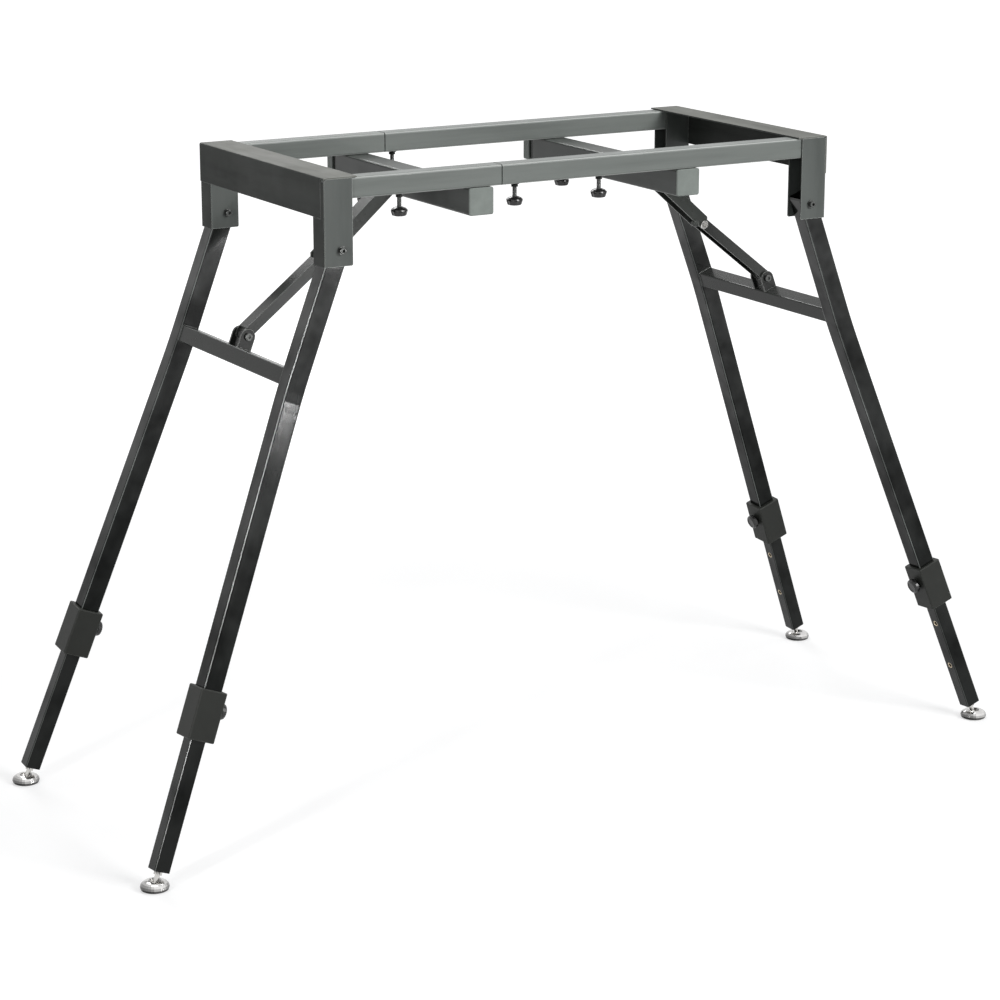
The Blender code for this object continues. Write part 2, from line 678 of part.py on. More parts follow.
def pull_pin(name, axis, plastic):
    """The sprung pin on the collar's inward face. Its head is pulled away from the leg."""
    face = COLLAR_SIZE / 2 + SEAM
    tip = LOWER_TUBE / 2 + SEAM
    pin, neck = circle(PIN_RADIUS), circle(PIN_NECK_RADIUS)
    shoulder = face + PIN_NECK_HEIGHT
    end = shoulder + PIN_HEAD_HEIGHT
    levels = [(tip, circle(PIN_RADIUS * 0.8)), (tip + PIN_TIP, pin), (face, pin), (face, neck)]
    levels.append((shoulder, neck))
    for share, ratio in ((0.0, 0.86), (0.20, 1.0), (0.66, 1.0), (0.88, 0.92), (1.0, 0.76)):
        levels.append((shoulder + PIN_HEAD_HEIGHT * share, circle(PIN_HEAD_RADIUS * ratio)))
    levels.append((end - PIN_HEAD_HEIGHT * 0.12, circle(PIN_HEAD_RADIUS * 0.55)))
    solid = turned(stack(levels), Matrix.Rotation(-math.pi / 2, 4, "Y"))
    place(name, solid, plastic, axis, (0, 0, -PIN_DISTANCE))


def lower_leg(name, axis, steel):
    """The lower tube with its end plug, nut, stem and ball, and the row of pin holes."""
    outer = rounded_box(LOWER_TUBE, LOWER_TUBE, LOWER_RADIUS)
    inner_size = LOWER_TUBE - 2 * LOWER_WALL
    inner = rounded_box(inner_size, inner_size, LOWER_WALL / 2)
    count = len(outer)
    length = LOWER_END - LOWER_START
    stem, nut = circle(STEM_RADIUS, count), circle(STEM_NUT_RADIUS, count)
    ball_z = -length - LEG_END_ABOVE_BALL
    levels = [(-length + PLUG_THICK, inner), (0, inner), (0, outer), (-length, outer), (-length, nut)]
    levels += [(-length - STEM_NUT_HEIGHT, nut), (-length - STEM_NUT_HEIGHT, stem)]
    for i in range(1, 7):
        angle = math.pi / 2 - math.pi * i / 7
        radius = BALL_RADIUS * math.cos(angle)
        height = ball_z + BALL_RADIUS * math.sin(angle)
        if i == 1:
            neck = ball_z + math.sqrt(BALL_RADIUS ** 2 - STEM_RADIUS ** 2)
            levels.append((neck, stem))
        if height < levels[-1][0]:
            levels.append((height, circle(radius, count)))
    leg = place(name, stack(levels), steel, axis, (0, 0, -LOWER_START))
    for i in range(HOLE_COUNT):
        z = LOWER_START - PIN_DISTANCE - i * HOLE_SPACING
        combine(leg, cylinder(PIN_RADIUS + PIN_GAP, -LOWER_TUBE, -LOWER_TUBE / 4, "X", (0, z)))


def foot_pad(name, half, location, chrome):
    """The domed pad that swivels on the stem's ball. Its sole lies on the floor."""
    socket = BALL_RADIUS + SOCKET_GAP
    levels = [(-BALL_Z, circle(PAD_SOLE_RADIUS, PAD_ROUND))]
    flare = PAD_RADIUS - PAD_SOLE_RADIUS
    for i in (1, 2):
        t = math.pi / 2 * i / 2
        levels.append((-BALL_Z + PAD_WIDEST_Z * (1 - math.cos(t)),
                       circle(PAD_SOLE_RADIUS + flare * math.sin(t), PAD_ROUND)))
    rise = PAD_HEIGHT - PAD_WIDEST_Z
    for i in range(1, 5):
        t = math.pi / 2 * i / 4
        radius = PAD_CROWN_RADIUS + (PAD_RADIUS - PAD_CROWN_RADIUS) * math.cos(t)
        levels.append((-BALL_Z + PAD_WIDEST_Z + rise * math.sin(t), circle(radius, PAD_ROUND)))
    crown = PAD_HEIGHT - BALL_Z
    middle = (PAD_CROWN_RADIUS + PAD_MOUTH_RADIUS) / 2
    levels.append((crown - PAD_MOUTH_DROP / 4, circle(middle, PAD_ROUND)))
    levels.append((crown - PAD_MOUTH_DROP, circle(PAD_MOUTH_RADIUS, PAD_ROUND)))
    for i in range(4):
        angle = math.pi / 2 * 0.8 * i / 3
        levels.append((-socket * math.sin(angle), circle(socket * math.cos(angle), PAD_ROUND)))
    place(name, stack(levels), chrome, half, location)


def cross_bar(name, frame, y_sign, steel):
    """The tube that joins two legs, with the clevis for the strut's lower end."""
    solid = along_y(square_tube(BAR_SIZE, BAR_WALL, BAR_RADIUS, -BAR_LENGTH / 2, BAR_LENGTH / 2))
    bar = place(name, solid, steel, frame, (0, 0, -BAR_DISTANCE))
    pivot = (BAR_SIZE / 2 + BAR_PIVOT_HEIGHT, 0)
    inner = LOWER_LINK_WIDTH / 2 + STRUT_PLAY
    for low in (inner, -inner - CHEEK_THICK):
        outline = [(-b, a) for a, b in cheek_outline(pivot, BAR_SIZE / 2 - BITE, BAR_CHEEK_RADIUS)]
        combine(bar, prism(outline, "Y", low, low + CHEEK_THICK), "UNION")
    front = -y_sign
    face = inner + CHEEK_THICK + CUT_MARGIN
    span = sorted((front * (inner - CUT_MARGIN / 2), front * face))
    combine(bar, cylinder(STRUT_BOLT_RADIUS + BOLT_GAP, span[0], span[1], "Y", (0, pivot[0])))
    nut = sorted((-front * (inner + CHEEK_THICK - BITE), -front * (inner + CHEEK_THICK + STRUT_HEAD_HEIGHT)))
    points = [(a, b + pivot[0]) for a, b in hexagon(STRUT_HEAD_RADIUS)]
    combine(bar, prism(points, "Y", nut[0], nut[1]), "UNION")


def channel_link(width, back, edge, length, web_start, web_end):
    """A U-shaped link along X between two pins, its web above and its open side below.

    Returns the outer solid and the cutter that hollows it and shortens its web.
    """
    lug = STRUT_LUG_RADIUS
    points = [(0, -edge), (length, -edge)]
    for i in range(1, 8):
        angle = -math.pi / 2 + math.pi * i / 8
        points.append((length + lug * math.cos(angle), lug * math.sin(angle)))
    points += [(length - LINK_CORNER, back), (LINK_CORNER, back)]
    for i in range(1, 8):
        angle = math.pi / 2 + math.pi * i / 8
        points.append((lug * math.cos(angle), lug * math.sin(angle)))
    outer = prism(points, "Y", -width / 2, width / 2)
    low, high = -lug - CUT_MARGIN, length + lug + CUT_MARGIN
    ceiling, top = back - STRUT_WALL, back + CUT_MARGIN
    inside = [(low, -lug - CUT_MARGIN), (high, -lug - CUT_MARGIN), (high, top), (web_end, top)]
    inside += [(web_end, ceiling), (web_start, ceiling), (web_start, top), (low, top)]
    hollow = prism(inside, "Y", STRUT_WALL - width / 2, width / 2 - STRUT_WALL)
    return outer, hollow


def link(name, parent, width, back, edge, length, web_start, web_end, steel, location, angle):
    outer, hollow = channel_link(width, back, edge, length, web_start, web_end)
    body = place(name, outer, steel, parent, location, (0, angle, 0))
    combine(body, hollow)
    reach = width / 2 + CUT_MARGIN
    for x in (0, length):
        combine(body, cylinder(STRUT_BOLT_RADIUS + BOLT_GAP, -reach, reach, "Y", (x, 0)))
    return body


def strut_points():
    """The strut's pins in the half's X-Z plane: top, middle and bottom."""
    up = Vector((-math.sin(SPLAY), math.cos(SPLAY)))
    top = Vector((STRUT_TOP_X, STRUT_TOP_Z))
    pivot = Vector((PIVOT_X, PIVOT_Z))
    bottom = pivot - up * (BAR_DISTANCE - BAR_SIZE / 2 - BAR_PIVOT_HEIGHT)
    line = (bottom - top).normalized()
    outward = Vector((-line.y, line.x))
    middle = (top + bottom) / 2 - outward * STRUT_SAG
    return top, middle, bottom


def strut(side, half, y_sign, frame_steel, leg_steel, chrome):
    """Two links between a cross-support and the leg frame's cross bar."""
    top, middle, bottom = strut_points()
    length = (middle - top).length
    upper_angle = -math.atan2(middle.y - top.y, middle.x - top.x)
    lower_angle = -math.atan2(bottom.y - middle.y, bottom.x - middle.x)
    upper = link(side + "_strut_upper_link", half, UPPER_LINK_WIDTH, UPPER_LINK_BACK, UPPER_LINK_EDGE,
                 length, STRUT_LUG_RADIUS, length - UPPER_WEB_CUT, frame_steel,
                 (top.x, 0, top.y), upper_angle)
    front = -y_sign
    centre = (length - STOP_PIN_BACK, -STOP_PIN_DROP)
    tab = sorted((front * (UPPER_LINK_WIDTH / 2 - STRUT_WALL), front * UPPER_LINK_WIDTH / 2))
    combine(upper, cylinder(STOP_TAB_RADIUS, tab[0], tab[1], "Y", centre, ROUND), "UNION")
    face = front * UPPER_LINK_WIDTH / 2
    neck = circle(STOP_PIN_RADIUS * 0.6)
    levels = [(-BITE, neck), (STOP_PIN_NECK, neck)]
    dome = STOP_PIN_HEIGHT - STOP_PIN_NECK
    for share, ratio in ((0.0, 0.86), (0.2, 1.0), (0.5, 0.93), (0.8, 0.68), (1.0, 0.28)):
        levels.append((STOP_PIN_NECK + dome * share, circle(STOP_PIN_RADIUS * ratio)))
    head = stack(levels)
    head = facing_front(head) if front < 0 else along_y(head)
    head.transform(Matrix.Translation((centre[0], face, centre[1])))
    combine(upper, head, "UNION")

    lower = link(side + "_strut_lower_link", half, LOWER_LINK_WIDTH, LOWER_LINK_BACK, LOWER_LINK_EDGE,
                 length, LOWER_WEB_CUT, length - STRUT_LUG_RADIUS, leg_steel,
                 (middle.x, 0, middle.y), lower_angle)
    dot = cylinder(WEB_HOLE_RADIUS, 0, LOWER_LINK_BACK + CUT_MARGIN, "Z", (length - WEB_HOLE_DISTANCE, 0))
    combine(lower, dot)

    def facing(solid):
        return facing_front(solid) if front < 0 else along_y(solid)

    grip = UPPER_LINK_WIDTH / 2 + STRUT_PLAY + CHEEK_THICK
    top_bolt = bolt(STRUT_BOLT_RADIUS, -grip, grip, STRUT_HEAD_RADIUS, STRUT_HEAD_HEIGHT, None,
                    (STRUT_HEAD_RADIUS, STRUT_HEAD_HEIGHT))
    place(side + "_strut_top_bolt", facing(top_bolt), chrome, half, (top.x, 0, top.y))
    grip = UPPER_LINK_WIDTH / 2
    rivet = bolt(STRUT_BOLT_RADIUS, -grip, grip, MIDDLE_HEAD_RADIUS, STRUT_HEAD_HEIGHT, None,
                 (STRUT_HEAD_RADIUS, STRUT_HEAD_HEIGHT * 0.7))
    place(side + "_strut_middle_bolt", facing(rivet), chrome, half, (middle.x, 0, middle.y))
    inner = LOWER_LINK_WIDTH / 2 + STRUT_PLAY
    stub = bolt(STRUT_BOLT_RADIUS, inner, inner + CHEEK_THICK, STRUT_HEAD_RADIUS, STRUT_HEAD_HEIGHT,
                None, None)
    place(side + "_strut_bottom_bolt", facing(stub), chrome, half, (bottom.x, 0, bottom.y))


def leg_side(side, half, leg_frame, y_sign, end, mats):
    """One leg of a frame, from its pivot bolt to its foot."""
    upper_leg(side + "_" + end + "_upper_leg", leg_frame, y_sign, mats["leg_steel"])
    axis = make_empty(side + "_" + end + "_slide_axis", leg_frame,
                      (0, y_sign * FRAME_Y, -KINK_DISTANCE), (y_sign * KINK_ANGLE, 0, 0))
    collar(side + "_" + end + "_leg_collar", axis, mats["collar_plastic"])
    pull_pin(side + "_" + end + "_pull_pin", axis, mats["knob_plastic"])
    lower_leg(side + "_" + end + "_lower_leg", axis, mats["leg_steel"])
    y = FRAME_Y + math.sin(KINK_ANGLE) * BALL_DISTANCE
    down = KINK_DISTANCE + math.cos(KINK_ANGLE) * BALL_DISTANCE
    x = PIVOT_X + math.sin(SPLAY) * down
    foot_pad(side + "_" + end + "_foot_pad", half, (x, y_sign * y, BALL_Z), mats["foot_chrome"])


def build_half(side, turn, mats):
    """Everything that the two ends of the stand share. The left half is turned half round."""
    half = make_empty(side + "_half", None, (0, 0, 0), (0, 0, turn))
    world = 1 if side == "right" else -1
    end_bracket(side, half, mats["plate_steel"])
    leg_frame = make_empty(side + "_leg_frame_axis", half, (PIVOT_X, 0, PIVOT_Z), (0, -SPLAY, 0))
    for y_sign in (-1, 1):
        end = "front" if y_sign * world < 0 else "rear"
        post(side + "_" + end + "_post", half, y_sign, mats["frame_steel"])
        pivot_bolt(side + "_" + end + "_pivot_bolt", half, y_sign, -world, mats["bolt_chrome"])
        leg_side(side, half, leg_frame, y_sign, end, mats)
    cross_bar(side + "_cross_bar", leg_frame, world, mats["leg_steel"])
    cross_support(side + "_cross_support", half, world, mats["frame_steel"])
    front_cap(side + "_support_front_cap", half, world, mats["cap_plastic"])
    arm(side + "_support_arm", half, world, mats["leg_steel"])
    strut(side, half, world, mats["frame_steel"], mats["leg_steel"], mats["bolt_chrome"])


def build_rails(mats):
    end = WEB_INNER_X - SEAM
    steel = mats["frame_steel"]
    gap = RAIL_SEAM_GAP / 2
    rail("front_rail_left", -end, FRONT_SEAM_X - gap, -FRAME_Y, [LEFT_SCREW_X], steel)
    rail("front_rail_right", FRONT_SEAM_X + gap, end, -FRAME_Y, [MIDDLE_SCREW_X, RIGHT_SCREW_X], steel)
    rail("rear_rail_left", -end, REAR_SEAM_X - gap, FRAME_Y, [], steel)
    rail("rear_rail_right", REAR_SEAM_X + gap, end, FRAME_Y, [MIDDLE_SCREW_X], steel)
    sleeve("front_rail_sleeve", -FRAME_Y, steel)
    sleeve("rear_rail_sleeve", FRAME_Y, steel)
    plastic = mats["knob_plastic"]
    for name, x, y in (("front_left", LEFT_SCREW_X, -FRAME_Y), ("front_middle", MIDDLE_SCREW_X, -FRAME_Y),
                       ("front_right", RIGHT_SCREW_X, -FRAME_Y), ("rear_middle", MIDDLE_SCREW_X, FRAME_Y)):
        thumbscrew(name + "_width_screw", (x, y, RAIL_BOTTOM_Z), TUBE_WALL, plastic)
    for side, x in (("left", -SUPPORT_X), ("right", SUPPORT_X)):
        thumbscrew(side + "_arm_screw", (x, SUPPORT_SCREW_Y, SUPPORT_BOTTOM_Z), SUPPORT_WALL, plastic)


def main():
    clear_scene()
    mats = {name: make_material(name) for name in COLOURS}
    build_half("right", 0.0, mats)
    build_half("left", math.pi, mats)
    build_rails(mats)


main()
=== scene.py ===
# %% [markdown]
# # A folding keyboard stand in painted steel
#
# The real stand is a table-like frame of painted steel tube on two folding leg frames, with
# plastic collars and knobs, and chromed feet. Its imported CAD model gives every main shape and
# every moving part, in metres, with +Z up, so this lesson makes none of them again. It gives the
# CAD pieces their finishes, adds the small trim that the CAD leaves out, and sets up the floor,
# the light and the camera, so that a render can be laid beside the photograph.

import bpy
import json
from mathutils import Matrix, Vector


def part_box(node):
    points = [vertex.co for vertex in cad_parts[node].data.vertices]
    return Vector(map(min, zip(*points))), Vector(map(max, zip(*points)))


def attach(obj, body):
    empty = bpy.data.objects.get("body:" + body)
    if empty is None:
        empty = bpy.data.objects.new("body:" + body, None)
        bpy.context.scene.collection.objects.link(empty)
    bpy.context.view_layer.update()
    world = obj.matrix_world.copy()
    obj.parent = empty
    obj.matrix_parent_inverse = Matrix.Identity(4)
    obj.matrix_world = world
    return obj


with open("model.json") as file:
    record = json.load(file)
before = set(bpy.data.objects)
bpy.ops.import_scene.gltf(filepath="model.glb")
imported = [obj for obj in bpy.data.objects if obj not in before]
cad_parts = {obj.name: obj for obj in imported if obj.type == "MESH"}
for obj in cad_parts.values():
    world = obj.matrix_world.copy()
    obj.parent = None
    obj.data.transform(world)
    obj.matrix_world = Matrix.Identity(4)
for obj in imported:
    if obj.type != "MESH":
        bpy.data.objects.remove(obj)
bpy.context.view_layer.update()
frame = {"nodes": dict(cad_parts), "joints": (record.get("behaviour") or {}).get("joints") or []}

# %% [markdown]
# The legs of the real stand lean outwards by one angle, the splay. It could be typed in. Here it
# is measured from the joints instead, as the slope of the line from a leg's upper pivot down to
# its foot, so that the grain of the paint and the small trim follow the legs of any such frame.

# %% Imports and shared numbers
import json
import math

import bmesh
import bpy
from mathutils import Matrix, Vector

nodes = frame["nodes"]
joints = {joint["name"]: joint for joint in frame["joints"]}
pivot_x, _, pivot_z = joints["right_leg_fold"]["pos_m"]
foot_x, _, foot_z = joints["right_rear_foot_swivel"]["pos_m"]
splay = math.atan2(foot_x - pivot_x, pivot_z - foot_z)
sides = (("left", -1), ("right", 1))
ends = (("front", -1), ("rear", 1))
print("leg splay in degrees:", round(math.degrees(splay), 2))

# %% [markdown]
# A finish is a small network of shader nodes. Written out one by one, the finishes below would
# fill pages, so a few helpers carry what repeats. `add` makes a node and `join` wires an output
# to an input. These first ones work on any kind of node.

# %% Node helpers
def new_material(name):
    material = bpy.data.materials.new(name)
    material.use_nodes = True
    tree = material.node_tree
    return material, tree, tree.nodes["Principled BSDF"]


def add(tree, kind, **values):
    node = tree.nodes.new(kind)
    for key, value in values.items():
        setattr(node, key, value)
    return node


def join(tree, output, target):
    tree.links.new(output, target)


def set_inputs(node, values):
    for name, value in values.items():
        node.inputs[name].default_value = value


def coordinates(tree, kind):
    """The point's place (Object) or its direction (Normal), on the piece's own axes."""
    return add(tree, "ShaderNodeTexCoord").outputs[kind]


print("node helpers: new_material, add, join, set_inputs, coordinates")

# %% [markdown]
# Real finishes are never one flat colour. The next helpers make a cloudy value (`noise`), turn it
# into greys or colours (`ramp`), and lay one tone over another (`blend` and `mix`). Each returns
# its output, so that steps can be chained like sums.

# %% Tone helpers
def ramp(tree, source, stops):
    """A colour ramp from (position, grey or colour) pairs."""
    node = add(tree, "ShaderNodeValToRGB")
    elements = node.color_ramp.elements
    while len(elements) < len(stops):
        elements.new(0.5)
    for element, (position, colour) in zip(elements, stops):
        element.position = position
        if isinstance(colour, (int, float)):
            colour = (colour, colour, colour)
        element.color = (*colour, 1.0)
    join(tree, source, node.inputs["Fac"])
    return node.outputs["Color"]


def noise(tree, vector, scale, detail, roughness=0.5):
    node = add(tree, "ShaderNodeTexNoise")
    set_inputs(node, {"Scale": scale, "Detail": detail, "Roughness": roughness})
    join(tree, vector, node.inputs["Vector"])
    return node.outputs["Fac"]


def blend(tree, kind, first, second, factor=1.0):
    """Two tones put together: MULTIPLY darkens the first by the second, and ADD raises it."""
    node = add(tree, "ShaderNodeMix", data_type="RGBA", blend_type=kind)
    node.inputs["Factor"].default_value = factor
    join(tree, first, node.inputs["A"])
    join(tree, second, node.inputs["B"])
    return node.outputs["Result"]


def mix(tree, mask, first, second):
    """The first tone where the mask is black, and the second where it is white."""
    node = add(tree, "ShaderNodeMix", data_type="RGBA")
    join(tree, mask, node.inputs["Factor"])
    join(tree, first, node.inputs["A"])
    join(tree, second, node.inputs["B"])
    return node.outputs["Result"]


print("tone helpers: ramp, noise, blend, mix")

# %% [markdown]
# A finish also depends on where a point lies and which way it faces: an edge is paler, and a
# shaded flank is darker. So single numbers are taken from vectors (`part_of`) and worked on
# (`calculate`). `raise_skin` turns a cloudy value into fine relief, which costs no faces.

# %% Number and relief helpers
def calculate(tree, operation, first, second=None):
    """One step of arithmetic on one or two values."""
    node = add(tree, "ShaderNodeMath", operation=operation)
    join(tree, first, node.inputs[0])
    if second is not None:
        join(tree, second, node.inputs[1])
    return node.outputs[0]


def part_of(tree, vector, axis):
    """The X, Y or Z of a vector."""
    node = add(tree, "ShaderNodeSeparateXYZ")
    join(tree, vector, node.inputs[0])
    return node.outputs[axis]


def raise_skin(tree, shader, height, strength, depth):
    """A fine relief, up to this depth in metres, that the light catches."""
    bump = add(tree, "ShaderNodeBump")
    set_inputs(bump, {"Strength": strength, "Distance": depth})
    join(tree, height, bump.inputs["Height"])
    join(tree, bump.outputs["Normal"], shader.inputs["Normal"])


print("number and relief helpers: calculate, part_of, raise_skin")

# %% [markdown]
# Drawn tube and sprayed paint both show a grain along the tube. A texture fixed in the room would
# swim over a piece when its joint moves, so the grain uses each piece's own coordinates and
# stretches them. One leg's grain serves all four legs: `mirrored` folds every quarter of the
# stand onto one, and `turn` then leans the grain by the splay.

# %% Grain coordinates
def grain(tree, scale, turn=0.0, mirrored=False):
    """A piece's coordinates twice: as they are, and stretched for the grain."""
    source = coordinates(tree, "Object")
    if mirrored:
        fold = add(tree, "ShaderNodeVectorMath", operation="ABSOLUTE")
        join(tree, source, fold.inputs[0])
        source = fold.outputs[0]
    mapping = add(tree, "ShaderNodeMapping", vector_type="POINT")
    mapping.inputs["Rotation"].default_value = (0.0, turn, 0.0)
    join(tree, source, mapping.inputs["Vector"])
    stretch = add(tree, "ShaderNodeVectorMath", operation="MULTIPLY")
    stretch.inputs[1].default_value = scale
    join(tree, mapping.outputs["Vector"], stretch.inputs[0])
    return mapping.outputs["Vector"], stretch.outputs[0]


no_stretch = (1.0, 1.0, 1.0)
print("grain turns by", round(math.degrees(splay), 2), "degrees on the legs")

# %% [markdown]
# Sharp edges catch the light as thin bright lines, and paint is also a little thinner there. So
# a paler edge tone paints these lines in: mostly painted highlights, and partly thin paint. Such
# lines could be modelled as thin strips, but a mask in the material is simpler and follows every
# edge. On flat plates the Bevel node compares the true direction of the surface with a rounded
# one. The tubes' corners are rounded already, so there the direction alone tells where a corner is.

# %% Edge masks
def edge_highlight_mask(tree, width):
    """White on a plate's sharp outer edges, and black on its flats."""
    bevel = add(tree, "ShaderNodeBevel", samples=4)
    bevel.inputs["Radius"].default_value = width
    geometry = add(tree, "ShaderNodeNewGeometry")
    dot = add(tree, "ShaderNodeVectorMath", operation="DOT_PRODUCT")
    join(tree, bevel.outputs["Normal"], dot.inputs[0])
    join(tree, geometry.outputs["Normal"], dot.inputs[1])
    return ramp(tree, dot.outputs["Value"], [(0.90, 1.0), (0.995, 0.0)])


def corner_highlight_mask(tree, axis):
    """White on a tube's rounded corners. Two of the tube's faces look along the axis."""
    size = calculate(tree, "ABSOLUTE", part_of(tree, coordinates(tree, "Normal"), axis))
    return ramp(tree, size, [(0.42, 0.0), (0.60, 1.0), (0.78, 1.0), (0.92, 0.0)])


def painted_edge_highlight(tree, tone, mask, colour):
    """The tone with a paler line where the mask is white: a painted highlight along the edge."""
    pale = add(tree, "ShaderNodeRGB")
    pale.outputs[0].default_value = (*colour, 1.0)
    return mix(tree, mask, tone, pale.outputs[0])


plate_edge_width, moulding_edge_width = 0.0012, 0.0014
print("edge lines in metres: plates", plate_edge_width, "mouldings", moulding_edge_width)

# %% [markdown]
# Gloss paint on the real legs mirrors less light near the floor and looks darker there, and it
# shines less where the coat is uneven. The shine is the shader's specular level, and lowering it
# towards the floor paints that shade in. It could be painted by hand, but here it simply grows
# with the height between two levels, which looks the same on all four legs.

# %% Shine by height
def shine_by_height(tree, full, low, high, share):
    """The full shine above the height high, and only a share of it below the height low."""
    level = add(tree, "ShaderNodeMapRange")
    set_inputs(level, {"From Min": low, "From Max": high, "To Min": full * share, "To Max": full})
    join(tree, part_of(tree, coordinates(tree, "Object"), "Z"), level.inputs["Value"])
    return level.outputs["Result"]


print("shine helper: shine_by_height")

# %% [markdown]
# The steel is sprayed. Its paint has a faint orange-peel skin, long soft streaks along each tube,
# specks of dust and cloudy changes of shine. Painted pictures could show all that, but each of
# the 60 pieces would then need its surface laid out flat. Noise at a few scales needs no layout,
# and one recipe serves every painted piece.

# %% Painted steel
specks_per_metre, skin_per_metre = 900.0, 520.0
clouds_per_metre, patches_per_metre = 14.0, 11.0
peel_depth = 0.0004


def paint(name, colour, dark, streak, rough, peel=0.05, turn=0.0, mirrored=False, specular=0.28,
          edge=None, corner=None, blotch=None, fade=None):
    """A painted finish.

    colour, dark: the usual tone, and the tone of the darker streaks.
    streak: how fine the grain is along X, Y and Z. It is coarsest along the tube.
    rough: the roughness of the shiniest and of the dullest clouds.
    peel: how strong the orange-peel skin is.
    turn, mirrored: lean the grain with a leg, the same way in every quarter.
    edge, corner: the tone of the painted edge highlight, and for tubes the axis of the corner mask.
    blotch: the share of the tone that is left in the darkest patches.
    fade: low, high and share for shine_by_height.
    """
    material, tree, shader = new_material(name)
    plain, along = grain(tree, streak, turn, mirrored)
    light = tuple(min(1, part * 1.16) for part in colour)
    broad = noise(tree, along, 1.0, 4.0, 0.55)
    tone = ramp(tree, broad, [(0.30, dark), (0.52, colour), (0.75, light)])
    dust = noise(tree, plain, specks_per_metre, 2.0)
    specks = ramp(tree, dust, [(0.30, 0.86), (0.42, 1.0), (0.70, 1.0), (0.78, 1.12)])
    tone = blend(tree, "MULTIPLY", tone, specks, 0.6)
    # The edge tone is a painted highlight on the edges and corners.
    if edge:
        mask = corner_highlight_mask(tree, corner) if corner else edge_highlight_mask(tree, plate_edge_width)
        tone = painted_edge_highlight(tree, tone, mask, edge)
    if blotch:
        uneven = noise(tree, plain, patches_per_metre, 3.0, 0.6)
        patches = ramp(tree, uneven, [(0.34, blotch), (0.60, 1.10)])
        tone = blend(tree, "MULTIPLY", tone, patches)
    join(tree, tone, shader.inputs["Base Color"])
    shader.inputs["Specular IOR Level"].default_value = specular
    if fade:
        shine = shine_by_height(tree, specular, *fade)
        if blotch:
            shine = calculate(tree, "MULTIPLY", shine, patches)
        join(tree, shine, shader.inputs["Specular IOR Level"])
    clouds = noise(tree, plain, clouds_per_metre, 5.0, 0.6)
    gloss = ramp(tree, clouds, [(0.30, rough[0]), (0.70, rough[1])])
    join(tree, gloss, shader.inputs["Roughness"])
    raise_skin(tree, shader, noise(tree, plain, skin_per_metre, 3.0), peel, peel_depth)
    return material


print("paint recipe: skin", skin_per_metre, "bumps a metre, specks", specks_per_metre)

# %% [markdown]
# Each CAD node then takes the finish of its piece. Some nodes are one solid but two materials on
# the real stand, such as a lower leg with its bare stem. They could be cut apart, but a piece
# that is cut apart could also come apart in a pose. Their faces are sorted by place instead.

# %% Dressing a node
dressed = []


def dress(name, materials, choose=None):
    """Give a node its materials. The test returns a face's place in their list."""
    mesh = nodes[name].data
    mesh.materials.clear()
    for material in materials:
        mesh.materials.append(material)
    for polygon in mesh.polygons:
        polygon.material_index = choose(polygon) if choose else 0
    dressed.append(name)


def nodes_ending(*endings):
    return [name for name in nodes if name.endswith(endings)]


def facing_sideways(least):
    """Faces that look along X take the second material."""
    return lambda face: 1 if abs(face.normal.x) > least else 0


print("nodes to dress:", len(nodes))

# %% [markdown]
# The four top rails are grey tubes. Threaded bosses hang below three of them for the thumbscrews,
# and are black, as are the inner sleeves, which show only when the stand is pulled wider. A boss
# is part of its rail's solid, so the faces near the solid's lowest point take the black paint.

# %% Rails and sleeves
grey_edge_highlight = (0.42, 0.44, 0.42)
rail_paint = paint("rail_paint", (0.166, 0.181, 0.170), (0.132, 0.145, 0.136),
                   streak=(3.0, 45.0, 45.0), rough=(0.30, 0.42), edge=grey_edge_highlight, corner="Y")
boss_paint = paint("boss_paint", (0.010, 0.011, 0.010), (0.006, 0.007, 0.006),
                   streak=(60.0, 60.0, 60.0), rough=(0.24, 0.34), specular=0.16)
boss_height = 0.0058


def boss_choice(box):
    """Faces of the boss below a tube take the second material."""
    low = box[0][2]
    return lambda face: 1 if face.center.z < low + boss_height else 0


for name in ("front_rail_left", "front_rail_right", "rear_rail_right"):
    dress(name, [rail_paint, boss_paint], boss_choice(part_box(name)))
dress("rear_rail_left", [rail_paint])
for name in nodes_ending("rail_sleeve"):
    dress(name, [boss_paint])
print("rails and sleeves dressed:", len(dressed))

# %% [markdown]
# The cross-supports under the rails look much darker in the photograph, since they lie in the
# frame's shade. Shade from the lamps alone leaves them too pale beside the rails, so their paint
# is a darker mix of the same grey. Its streaks run front to back.

# %% Cross-supports
support_paint = paint("support_paint", (0.054, 0.059, 0.055), (0.042, 0.047, 0.043),
                      streak=(45.0, 3.0, 45.0), rough=(0.32, 0.42), edge=(0.20, 0.215, 0.20),
                      corner="X")
for name in nodes_ending("cross_support"):
    dress(name, [support_paint, boss_paint], boss_choice(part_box(name)))
print("support paint on", nodes_ending("cross_support"))

# %% [markdown]
# Posts and end brackets are bent from plate. Their outward faces turn away from the light and
# look dark, while the top plates are a warm, dull grey. One paint can't hold both, so faces that
# look sideways take a second, darker paint, which is painted shade.

# %% Posts and end brackets
post_paint = paint("post_paint", (0.090, 0.099, 0.093), (0.070, 0.078, 0.073),
                   streak=(30.0, 30.0, 4.0), rough=(0.28, 0.38), edge=grey_edge_highlight)
plate_paint = paint("plate_paint", (0.148, 0.151, 0.137), (0.098, 0.101, 0.090),
                    streak=(35.0, 6.0, 35.0), rough=(0.52, 0.66), peel=0.14, specular=0.16,
                    edge=(0.30, 0.31, 0.29))
side_shade_paint = paint("side_shade_paint", (0.038, 0.041, 0.038), (0.025, 0.027, 0.025),
                   streak=(35.0, 4.0, 35.0), rough=(0.40, 0.55), peel=0.10, specular=0.07,
                   edge=(0.22, 0.23, 0.22))
for name in nodes_ending("_post"):
    dress(name, [post_paint, side_shade_paint], facing_sideways(least=0.9))
for name in nodes_ending("end_bracket"):
    dress(name, [plate_paint, side_shade_paint], facing_sideways(least=0.7))
print("plate paints:", post_paint.name, plate_paint.name, side_shade_paint.name)
